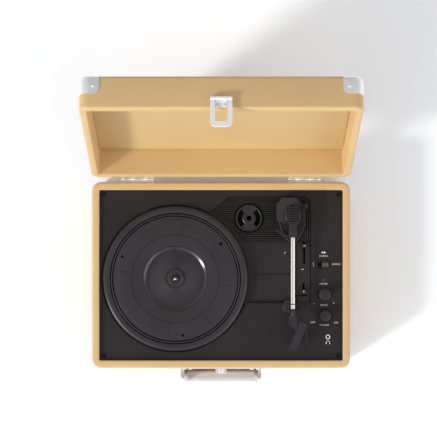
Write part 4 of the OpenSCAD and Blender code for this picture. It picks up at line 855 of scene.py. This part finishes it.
def platter():
    """Turned platter: smooth rim, two grooves with a bead between them, a flat field with a fine
    line, cut lines and finger holes."""
    z = PLATTER_Z
    low = platter_low.z
    inner, outer = SKIRT_R
    profile = below(z, RIM_PROFILE + BEAD_PROFILE + FIELD_PROFILE)
    profile += [(profile[-1][0], UNDER_Z), (inner, UNDER_Z), (inner, low)]
    profile += [(outer, low), (outer, UNDER_Z), (UNDER_R, UNDER_Z)]
    turned = lathe(profile, DISC_STEPS, PLATTER_X, PLATTER_Y, closed=True)
    disc_obj = piece("platter_disc", turned, platter_black, "platter",
                     sharp=PLATTER_SHARP, hides=["platter"])
    line = prism(round_rect(*SPOKE, 2)(), z - SPOKE_DEPTH, z + CUT_OVER)
    centre = Matrix.Translation((PLATTER_X, PLATTER_Y, 0))
    cuts = [moved(line, centre @ Matrix.Rotation(a, 4, "Z")) for a in spread(SPOKE_COUNT)]
    for a in spread(HOLE_COUNT):
        x, y = PLATTER_X + HOLE_AT * cos(a), PLATTER_Y + HOLE_AT * sin(a)
        cuts.append(prism(disc(x, y, HOLE_R, HOLE_STEPS)(), z - HOLE_DEPTH, z + CUT_OVER))
    cut(disc_obj, cuts, PLATTER_SHARP)
    # Painted shade: dark rings laid in the floors of the two grooves.
    width, deep, shallow = GROOVE
    shade = [ring(PLATTER_X, PLATTER_Y, r, r + width, z - deep, z - shallow, DISH_STEPS)
             for r in GROOVE_R]
    piece("platter_groove_painted_shade", join(*shade), shade_and_inlay_black, "platter")


def platter_dish():
    """Glossy dish in the middle of the platter: a round lip, a hub and the bearing below."""
    z = PLATTER_Z
    low = platter_low.z
    inner, outer = BEARING_R
    profile = [(DISH_R, UNDER_Z)] + below(z, DISH_PROFILE)
    profile += [(inner, low), (outer, low), (outer, UNDER_Z)]
    turned = lathe(profile, DISH_STEPS, PLATTER_X, PLATTER_Y, closed=True)
    piece("platter_dish", turned, dish_black, "platter", sharp=PLATTER_SHARP)
    # Painted shade: dark rings at the foot of the lip and round the hub.
    lines = [ring(PLATTER_X, PLATTER_Y, r0, r1, z - d0, z - d1, steps)
             for r0, r1, d0, d1, steps in DISH_LINES]
    piece("dish_painted_shade_lines", join(*lines), rib_and_painted_shade_black, "platter")


def spindle():
    """Plated spindle with a blunt cone and a small round tip."""
    low, high = node_box("spindle")
    inset, rise = SPINDLE_FOOT
    profile = below(high.z, SPINDLE_TIP)
    profile += [(SPINDLE_R, low.z + rise), (SPINDLE_R - inset, low.z), (0, low.z)]
    turned = lathe(profile, SPINDLE_STEPS, PLATTER_X, PLATTER_Y)
    piece("spindle_pin", turned, spindle_steel, "base", hides=["spindle"])


platter()
platter_dish()
spindle()


# Well ribs, panel lines and the 45 rpm adapter's cup

ADAPTER_X = 38.6
ADAPTER_Y = 78.7
CUP_CLEAR_R = 21.6
CUP_FLOOR = (20.0, 0.22, 0.06)  # radius, and lower and upper depth below the adapter
CUP_WALL_R = (19.15, 20.5)
CUP_WALL_RISE = 0.15
POST_HOLE = (86.8, 55.3, 5)  # of the cue lift: x, y and radius
RIB_PITCH = 2.9
RIB_FRONT = 46.5
RIB = (1.9, 0.7)  # width and height
RIB_SHORTEST = 2
RIB_LEAST_R = 0.8
CORNER_RIBS = 3
WELL_CORNER = 10
WELL_SLOPE = (-17, 86, 28 / 22.6)  # x and y of the slope's start, and x to y along it
TRAY_EDGE = 3.4
WELL_EDGE = 1.2
PANEL_LINE_Y = (RIB_FRONT - 0.6, 0.0, -37.6)
PANEL_RIGHT = 104
PANEL_LINE = (1.1, 0.5)


def well_left(y):
    """Left edge of the well at a depth: the platter's tray, then the slope at the back."""
    across = (TRAY_R + TRAY_EDGE) ** 2 - (y - PLATTER_Y) ** 2
    edge = PLATTER_X + sqrt(max(across, 0))
    slope_x, slope_y, run = WELL_SLOPE
    return max(edge, slope_x + (y - slope_y) * run) + WELL_EDGE


def clear_spans(y, left, right, holes):
    """Stretches of a level line that stay out of round holes given as (x, y, r)."""
    spans = [(left, right)]
    for hx, hy, r in holes:
        if abs(y - hy) >= r:
            continue
        half = sqrt(r * r - (y - hy) ** 2)
        cut_spans = []
        for a, b in spans:
            if a < hx - half:
                cut_spans.append((a, min(b, hx - half)))
            if b > hx + half:
                cut_spans.append((max(a, hx + half), b))
        spans = cut_spans
    return [(a, b) for a, b in spans if b - a > RIB_SHORTEST]


def well_ribs():
    """Fine ribs across the back of the well; the outer ones turn down its right side."""
    holes = [(ADAPTER_X, ADAPTER_Y, CUP_CLEAR_R), POST_HOLE]
    ribs = []
    for k in range(int((WELL_BACK - RIB_FRONT) / RIB_PITCH)):
        inset = (k + 0.5) * RIB_PITCH
        y = WELL_BACK - inset
        if k < CORNER_RIBS:
            x = WELL_RIGHT - inset
            r = max(WELL_CORNER - inset, RIB_LEAST_R)
            turn = arc(x - r, y - r, r, 90, 0, 6)
            ribs.append([(well_left(y), y)] + turn + [(x, RIB_FRONT)])
            continue
        right = WELL_RIGHT - (CORNER_RIBS + 0.5) * RIB_PITCH
        ribs += [[(a, y), (b, y)] for a, b in clear_spans(y, well_left(y), right, holes)]
    lines = join(*[ridge(points, *RIB, FLOOR_Z) for points in ribs])
    piece("well_ribs", lines, well_black)


def panel_lines():
    """Raised lines that part the smooth panels at the front of the well."""
    paths = [[(well_left(y), y), (PANEL_RIGHT, y)] for y in PANEL_LINE_Y]
    lines = [ridge(path, *PANEL_LINE, FLOOR_Z) for path in paths]
    piece("panel_lines", join(*lines), well_black)


def cup_shade():
    """Painted shade in the adapter's cup: a dark floor and wall, seen round the disc and through
    its slots.
    """
    low = node_box("adapter_45")[0].z
    r, deep, shallow = CUP_FLOOR
    bottom = prism(disc(ADAPTER_X, ADAPTER_Y, r)(), low - deep, low - shallow)
    piece("cup_painted_shade_floor", bottom, shade_and_inlay_black)
    wall = ring(ADAPTER_X, ADAPTER_Y, *CUP_WALL_R, low, FLOOR_Z + CUP_WALL_RISE)
    piece("cup_painted_shade_wall", wall, shade_and_inlay_black)


well_ribs()
panel_lines()
cup_shade()


# Tone arm: the plate under it, its turning head, the ribbed neck, the ring on the tube and the
# rest. A SPAN holds a lower and an upper level and, for round edges, the upper ones' radius.

PLATE_TOP = FLOOR_Z + 2.4
PLATE_SPAN = (FLOOR_Z - 0.3, PLATE_TOP, 0.8)
# Right half of the plate's outline: y and distance from the arm's line
PLATE_HALF = [
    (97, 12.5), (92, 15.5), (86, 17.4), (80, 18.4), (74, 18.4), (68, 17.6), (62, 15.6),
    (57, 13.2), (53, 11.0), (49.5, 8.6), (47, 6.2), (45.4, 3.4),
]
PLATE_MIDDLE = 76
PLATE_HALF_D = 45
PLATE_RIM = (0.9, 1.1, 0.8)  # inset, width and height of the raised edge
PLATE_RIM_FROM = 3  # first point of the outline under that edge
POST_AT = (30, -112.5, 3.4)  # distance, direction and hole radius of the lift's post
TURRET_LOW = ARM_Z - 14.2
TURRET_R = 12.4
TURRET_SPAN = (TURRET_LOW, TURRET_LOW + 2.4, 0.4)
STEM_R = 5
STEM_SPAN = (TURRET_LOW - 8, TURRET_LOW + 1)
STEM_STEPS = 32
CHEEK_R = 11.2
CHEEK_GAP = 6.95
CHEEK_SPAN = (TURRET_LOW + 2, ARM_Z + 4.6, 0.9)
# Neck: width, depth and corner radius of its parts
NECK_BLOCK = (13.2, 23.6, 1.6)
NECK_BLOCK_SPAN = (ARM_Z - 6, ARM_Z + 4.9, 0.6)
NECK_SHANK = (10.2, 21, 0.8)
NECK_SHANK_SPAN = (ARM_Z - 5, ARM_Z + 5, 1.2)
NECK_RIB = (12.9, 2.1, 0.5)
NECK_RIB_SPAN = (ARM_Z + 4, ARM_Z + 6.8, 0.5)
NECK_RIBS = 7
NECK_RIB_PITCH = 3.35
SHANK_Y = ARM_Y - 20.5
TUBE_RING_Y = -39.2
TUBE_RING_R = (3.02, 3.35)
TUBE_RING_HALF = 0.7
# Rest: x and y, then the radius, or the width, depth and corner radius
REST_FOOT = (94.1, -42.8, 9.4)
REST_FOOT_SPAN = (FLOOR_Z, DECK_Z + 1.6, 0.7)
REST_POST = (99.7, -48.55, 10.8, 4.9, 0.8)
REST_POST_SPAN = (DECK_Z - 0.5, 87.65, 0.5)
REST_STOP = (104.0, -48.55, 2.2, 4.9, 0.6)
REST_STOP_SPAN = (DECK_Z, 93, 0.5)


def plate_outline(inset=0):
    """Egg-shaped outline round the arm, wide at the pivot and narrow in front."""
    right = [(ARM_X + half - inset, y + inset * (PLATE_MIDDLE - y) / PLATE_HALF_D)
             for y, half in PLATE_HALF]
    return right + [(2 * ARM_X - x, y) for x, y in reversed(right)]


def arm_plate():
    """Low moulded plate under the arm, darkened as a painted shadow, with a raised edge painted
    light as a highlight, holed for the lift's post.
    """
    plate = piece("arm_plate", soft_prism(plate_outline, *PLATE_SPAN), plate_painted_shadow)
    reach, way, r = POST_AT
    x, y = ARM_X + reach * cos(radians(way)), ARM_Y + reach * sin(radians(way))
    cut(plate, [prism(disc(x, y, r, HOLE_STEPS)(), FLOOR_Z - CUT_OVER, PLATE_TOP + CUT_OVER)])
    inset, width, height = PLATE_RIM
    edge = plate_outline(inset)
    half = len(PLATE_HALF)
    sides = (edge[PLATE_RIM_FROM:half], edge[half:2 * half - PLATE_RIM_FROM])
    rims = [ridge(side, width, height, PLATE_TOP) for side in sides]
    piece("arm_plate_edge", join(*rims), plate_edge_painted_highlight)


def segment(side, r, chord):
    """Outline function of a round segment on one side of the arm's pivot."""
    def outline(inset=0):
        reach = r - inset
        half = degrees(acos((chord + inset) / reach))
        return [(ARM_X + side * x, ARM_Y + y) for x, y in arc(0, 0, reach, -half, half, 16)]
    return outline


def turret():
    """Turning head of the arm: a disc on a stem and two round cheeks that hold the neck."""
    table = soft_prism(disc(ARM_X, ARM_Y, TURRET_R), *TURRET_SPAN)
    stem = prism(disc(ARM_X, ARM_Y, STEM_R, STEM_STEPS)(), *STEM_SPAN)
    cheeks = [soft_prism(segment(side, CHEEK_R, CHEEK_GAP), *CHEEK_SPAN) for side in (-1, 1)]
    piece("arm_turret", join(table, stem, *cheeks), arm_black, "arm_turn", hides=["arm_yoke"])


def neck():
    """Ribbed block on the pivot with a plain shank in front that holds the tube."""
    block = soft_prism(round_rect(ARM_X, ARM_Y, *NECK_BLOCK), *NECK_BLOCK_SPAN)
    shank = soft_prism(round_rect(ARM_X, SHANK_Y, *NECK_SHANK), *NECK_SHANK_SPAN)
    piece("neck_block", join(block, shank), arm_black, "arm", hides=["arm_neck"])
    ribs = []
    for i in range(NECK_RIBS):
        y = ARM_Y + (i - (NECK_RIBS - 1) / 2) * NECK_RIB_PITCH
        ribs.append(soft_prism(round_rect(ARM_X, y, *NECK_RIB, 2), *NECK_RIB_SPAN))
    piece("neck_ribs", join(*ribs), rib_and_painted_shade_black, "arm")


def tube_ring():
    """Dark ring near the front of the bright tube."""
    inner, outer = TUBE_RING_R
    half = TUBE_RING_HALF
    band = lathe([(inner, -half), (outer, -half), (outer, half), (inner, half)], 32)
    piece("tube_ring", placed(band, ARM_X, TUBE_RING_Y, ARM_Z, pi / 2), arm_black, "arm")


def arm_rest():
    """Round-footed rest under the collar, with its stop on the outer side."""
    foot = soft_prism(disc(*REST_FOOT), *REST_FOOT_SPAN)
    post = soft_prism(round_rect(*REST_POST), *REST_POST_SPAN)
    stop = soft_prism(round_rect(*REST_STOP), *REST_STOP_SPAN)
    piece("rest_post", join(foot, post, stop), arm_black, hides=["arm_rest"])


arm_plate()
turret()
neck()
tube_ring()
arm_rest()


# Printed marks, knobs and small trims on the deck

KNOB_X = 143.2
VOLUME_Y = -55.8
PITCH_Y = -26.1
SWITCH_X = 141.4
JACK_X = 147.5
JACK_Y = -85.3
JACK_COLLAR = (1.9, 3.2)
JACK_COLLAR_RISE = 0.35
SIGN_R = 2.4
SIGN_Y = JACK_Y - 7.6
SIGN_TURN = (200, -20, 12)  # start and end in degrees, and steps
SIGN_PAD = (1.2, 2.2, 0.5)  # width, depth and corner radius
SIGN_PAD_Y = SIGN_Y - 1.2
INK_LINE = (0.7, 0.05)  # width and height
INK_LIFT = 0.04
INK_SUNK = 0.2
INK_R = 0.2
CAPITALS = 0.7  # height of capital letters as a share of the font's size
STRIP_MARK = (112.5, 8.0, 3.2, 0.7, INK_R)
WELL_MARK = [(87.4, 29.4), (89.2, 32.2)]
STRIP_LOW = 69.3
STRIP_INK = 69.54
STRIP_BAR = 69.66
# Words on the deck: text, x, y and height
WORDS = [
    ("SOURCE", SWITCH_X, 26.4, 2.3), ("PHONO", 158.9, 15.0, 2.3), ("POWER", SWITCH_X, -12.0, 2.2),
    ("-", 128.6, -38.6, 3.6), ("+", 155.4, -38.6, 3.6), ("PITCH", 142.0, -41.6, 2.4),
    ("OFF", 126.8, -65.2, 2.6), ("ON", 158.6, -65.6, 2.6), ("VOLUME", 142.4, -68.8, 2.4),
]
ARROW_Y = 31.2
ARROW = ((0.5, -1.9), (3.6, 0), (0.5, 1.9))
# Knob: radius and level, from the middle of its top down to its lower edge
KNOB_PROFILE = [
    (0, 81.5), (3.5, 81.45), (5.8, 81.3), (7.0, 81.05), (7.7, 80.6), (8.05, 79.8), (8.25, 75.5),
    (8.5, 72.4), (8.5, 71.6), (3.05, 71.6),
]
KNURL_ROWS = (5, 6, 7)
KNURL_BITE = 0.22
KNOB_STEPS = 120
KNOB_SHARP = 50
# Inlays of the lever strip: x, y, width and depth
STRIP_BARS = [(112.8, -28.3, 15, 2.4), (113.8, 44.8, 5.6, 2.0), (113.6, 35.6, 5.0, 1.4)]
STRIP_BAR_R = 0.3
# White lines on the levers: node, width and depth
LEVER_LINES = [("speed_lever", 2.6, 0.8), ("stop_lever", 0.8, 3.0)]
LEVER_INK = (0.1, 0.06)  # depth below and height over a lever's tip
SWITCH_CAP = (10.4, 0.8)  # width and corner radius
SWITCH_CAP_RISE = (0.15, 0.5, 0.5)  # over the deck, below the node's top, and edge radius
SWITCH_GRIP = (0.9, 5.2, 0.3)
SWITCH_GRIP_RISE = (0.8, 0.1, 0.2)  # below and over the node's top, and edge radius
SWITCH_GRIPS = 4
SWITCH_GRIP_PITCH = 2.1
SWITCH_GRIP_FROM = 1.9


def words(name, lines, turn=0):
    """Printed words as one thin piece; lines holds (text, x, y, height)."""
    parts = []
    c, s = cos(radians(turn)), sin(radians(turn))
    z = DECK_Z + INK_LIFT
    for text, x, y, height in lines:
        curve = bpy.data.curves.new("word", "FONT")
        curve.body = text
        curve.align_x = "CENTER"
        curve.align_y = "CENTER"
        curve.size = height / CAPITALS
        curve.resolution_u = 2
        obj = bpy.data.objects.new("word", curve)
        bpy.context.collection.objects.link(obj)
        bpy.context.view_layer.update()
        seen = obj.evaluated_get(bpy.context.evaluated_depsgraph_get())
        mesh = bpy.data.meshes.new_from_object(seen)
        points = [v.co for v in mesh.vertices]
        verts = [(c * p.x - s * p.y + x, s * p.x + c * p.y + y, z) for p in points]
        parts.append((verts, [tuple(face.vertices) for face in mesh.polygons]))
        bpy.data.objects.remove(obj)
        bpy.data.curves.remove(curve)
        bpy.data.meshes.remove(mesh)
    piece(name, join(*parts), ink, "base")


def deck_print():
    """Words and signs beside the controls."""
    words("deck_words", WORDS)
    words("aux_word", [("AUX", 127.6, 15.0, 2.0)], 90)
    marks = []
    for side in (-1, 1):
        arrow = [(SWITCH_X + side * x, ARROW_Y + y) for x, y in ARROW]
        marks.append(prism(arrow, DECK_Z - INK_SUNK, DECK_Z + INK_LIFT))
    marks.append(prism(round_rect(*STRIP_MARK, 2)(), STRIP_LOW, STRIP_INK))
    marks.append(ridge(WELL_MARK, *INK_LINE, FLOOR_Z))
    piece("deck_marks", join(*marks), ink, "base")


def jack_trim():
    """White collar of the headphone socket and a sign of a pair of headphones below it."""
    band = ring(JACK_X, JACK_Y, *JACK_COLLAR, DECK_Z - INK_SUNK, DECK_Z + JACK_COLLAR_RISE)
    marks = [ridge(arc(JACK_X, SIGN_Y, SIGN_R, *SIGN_TURN), *INK_LINE, DECK_Z)]
    for side in (-1, 1):
        pad = round_rect(JACK_X + side * SIGN_R, SIGN_PAD_Y, *SIGN_PAD, 3)()
        marks.append(prism(pad, DECK_Z - INK_SUNK, DECK_Z + INK_LINE[1]))
    piece("jack_trim", join(band, *marks), ink, "base")


def knob(name, node, y):
    """Tapered knob with a fine knurl, a soft shoulder and a slightly crowned top."""
    low = node_box(node)[0].z
    profile = KNOB_PROFILE + [(KNOB_PROFILE[-1][0], low), (0, low)]
    verts = []
    for i in range(KNOB_STEPS):
        a = 2 * pi * i / KNOB_STEPS
        bite = KNURL_BITE if i % 3 == 0 else 0.0
        for k, (r, z) in enumerate(profile):
            r_here = r - bite if k in KNURL_ROWS else r
            verts.append((KNOB_X + r_here * cos(a), y + r_here * sin(a), z))
    faces = grid_faces(KNOB_STEPS, len(profile), wrap_rows=True)
    piece(name, (verts, faces), knob_black, node, sharp=KNOB_SHARP, hides=[node])


def lever_marks():
    """White lines on the tips of the two slide levers, and the source switch's cap and grips."""
    for node, w, d in LEVER_LINES:
        low, high = node_box(node)
        mark = round_rect((low.x + high.x) / 2, (low.y + high.y) / 2, w, d, INK_R, 2)
        sunk, lift = LEVER_INK
        line = prism(mark(), high.z - sunk, high.z + lift)
        piece(node + "_mark", line, ink, node)
    low, high = node_box("source_cap")
    middle = (low.y + high.y) / 2
    width, r = SWITCH_CAP
    outline = round_rect(high.x - width / 2, middle, width, high.y - low.y, r)
    lift, drop, edge_r = SWITCH_CAP_RISE
    plate = soft_prism(outline, DECK_Z + lift, high.z - drop, edge_r)
    piece("source_plate", plate, knob_black, "source_cap")
    grips = []
    sunk, lift, edge_r = SWITCH_GRIP_RISE
    for k in range(SWITCH_GRIPS):
        x = high.x - SWITCH_GRIP_FROM - SWITCH_GRIP_PITCH * k
        outline = round_rect(x, middle, *SWITCH_GRIP, 2)
        grips.append(soft_prism(outline, high.z - sunk, high.z + lift, edge_r))
    piece("source_grips", join(*grips), grip_dark, "source_cap")


def strip_bars():
    """Dark inlays on the lever strip."""
    bars = [prism(round_rect(*bar, STRIP_BAR_R, 2)(), STRIP_LOW, STRIP_BAR) for bar in STRIP_BARS]
    piece("strip_bars", join(*bars), shade_and_inlay_black)


deck_print()
jack_trim()
knob("volume_dial", "volume_knob", VOLUME_Y)
knob("pitch_dial", "pitch_knob", PITCH_Y)
lever_marks()
strip_bars()


# Stage: floor, light and camera

FLOOR_HALF = 6
FLOOR_PALE = (0.79, 0.80, 0.82)
FLOOR_SHOWN = (1.07, 1.085, 1.11)
FLOOR_LIFT = (0.025, 0.03, 0.04)
FILL = 0.625
FILL_COLOUR = (0.995, 0.995, 1.0)
FILL_SLOPE = 0.28
FILL_FROM = (-0.12, -1, 0)
GLOSS_LIFT = 0.15
GAP = (0.03, 0.14, 0.25)  # dark gap overhead: sideways part at its edges, and its level
# Softboxes in the world: direction, inner and outer half angle in degrees, and strength
SOFTBOXES = [((-0.74, -0.62, 0.36), 9, 19, 2.5), ((0.82, -0.42, 0.39), 17, 32, 1.6)]
KEY_STRENGTH = 1.9
KEY_ANGLE = 9
KEY_HEIGHT = 27.5
KEY_FROM_SIDE = 31
LENS = 149.4
CAMERA_X = -0.0035
CAMERA_Y = 0.0782
CAMERA_Z = 2.576


def floor():
    """Pale floor that shows white where the light reaches it and keeps the object's shadow."""
    corners = [(-1, -1), (1, -1), (1, 1), (-1, 1)]
    mesh = bpy.data.meshes.new("floor")
    mesh.from_pydata([(FLOOR_HALF * x, FLOOR_HALF * y, 0) for x, y in corners], [], [(0, 1, 2, 3)])
    surface = bpy.data.materials.new("floor_white")
    surface.use_nodes = True
    n = Nodes(surface.node_tree)
    n.tree.nodes.clear()
    seen = n.seen()
    paint = n.node("ShaderNodeBsdfDiffuse")
    n.link(n.mixed(seen, FLOOR_PALE, FLOOR_SHOWN), paint.inputs["Color"])
    lift = n.node("ShaderNodeEmission", {"Color": (*FLOOR_LIFT, 1)})
    n.link(seen, lift.inputs["Strength"])
    both = n.node("ShaderNodeAddShader")
    n.link(paint.outputs["BSDF"], both.inputs[0])
    n.link(lift.outputs["Emission"], both.inputs[1])
    n.link(both.outputs["Shader"], n.node("ShaderNodeOutputMaterial").inputs["Surface"])
    mesh.materials.append(surface)
    obj = bpy.data.objects.new("floor", mesh)
    bpy.context.collection.objects.link(obj)


def world_light():
    """Fill that fades to the back, with a dark gap overhead and two softboxes."""
    world = bpy.data.worlds.new("studio")
    world.use_nodes = True
    n = Nodes(world.node_tree)
    fill = n.tree.nodes["Background"]
    fill.inputs["Color"].default_value = (*FILL_COLOUR, 1)
    way = n.node("ShaderNodeTexCoord").outputs["Generated"]

    def towards(direction):
        values = {1: Vector(direction).normalized()}
        made = n.node("ShaderNodeVectorMath", values, operation="DOT_PRODUCT")
        n.link(way, made.inputs[0])
        return made.outputs["Value"]

    dim, bright = FILL * (1 - FILL_SLOPE), FILL * (1 + FILL_SLOPE)
    level = n.span(towards(FILL_FROM), -1, 1, dim, bright)
    inner, outer, dark = GAP
    sideways = n.combine("ABSOLUTE", towards((1, 0, 0)), 0)
    gap = n.span(sideways, inner, outer, dark, 1.0, "SMOOTHSTEP")
    total = n.combine("MULTIPLY", level, gap)
    for direction, inner, outer, strength in SOFTBOXES:
        edges = cos(radians(outer)), cos(radians(inner))
        box = n.span(towards(direction), *edges, 0, strength, "SMOOTHSTEP")
        total = n.combine("ADD", total, box)
    shown = n.combine("ADD", n.combine("MULTIPLY", n.seen(), GLOSS_LIFT), 1)
    n.link(n.combine("MULTIPLY", total, shown), fill.inputs["Strength"])
    bpy.context.scene.world = world


def key_light():
    """Low, soft sun from the front left."""
    key = bpy.data.lights.new("key", "SUN")
    key.energy = KEY_STRENGTH
    key.angle = radians(KEY_ANGLE)
    obj = bpy.data.objects.new("key", key)
    height = radians(KEY_HEIGHT)
    side = radians(KEY_FROM_SIDE)
    beam = Vector((cos(height) * cos(side), cos(height) * sin(side), -sin(height)))
    obj.rotation_euler = beam.to_track_quat("-Z", "Y").to_euler()
    bpy.context.collection.objects.link(obj)


def camera():
    """Straight down, framed as the photograph is."""
    lens = bpy.data.cameras.new("camera")
    lens.lens = LENS
    obj = bpy.data.objects.new("camera", lens)
    obj.location = (CAMERA_X, CASE_Y + CAMERA_Y, CAMERA_Z)
    bpy.context.collection.objects.link(obj)
    bpy.context.scene.camera = obj


floor()
world_light()
key_light()
camera()
bpy.context.scene.view_settings.view_transform = "Standard"
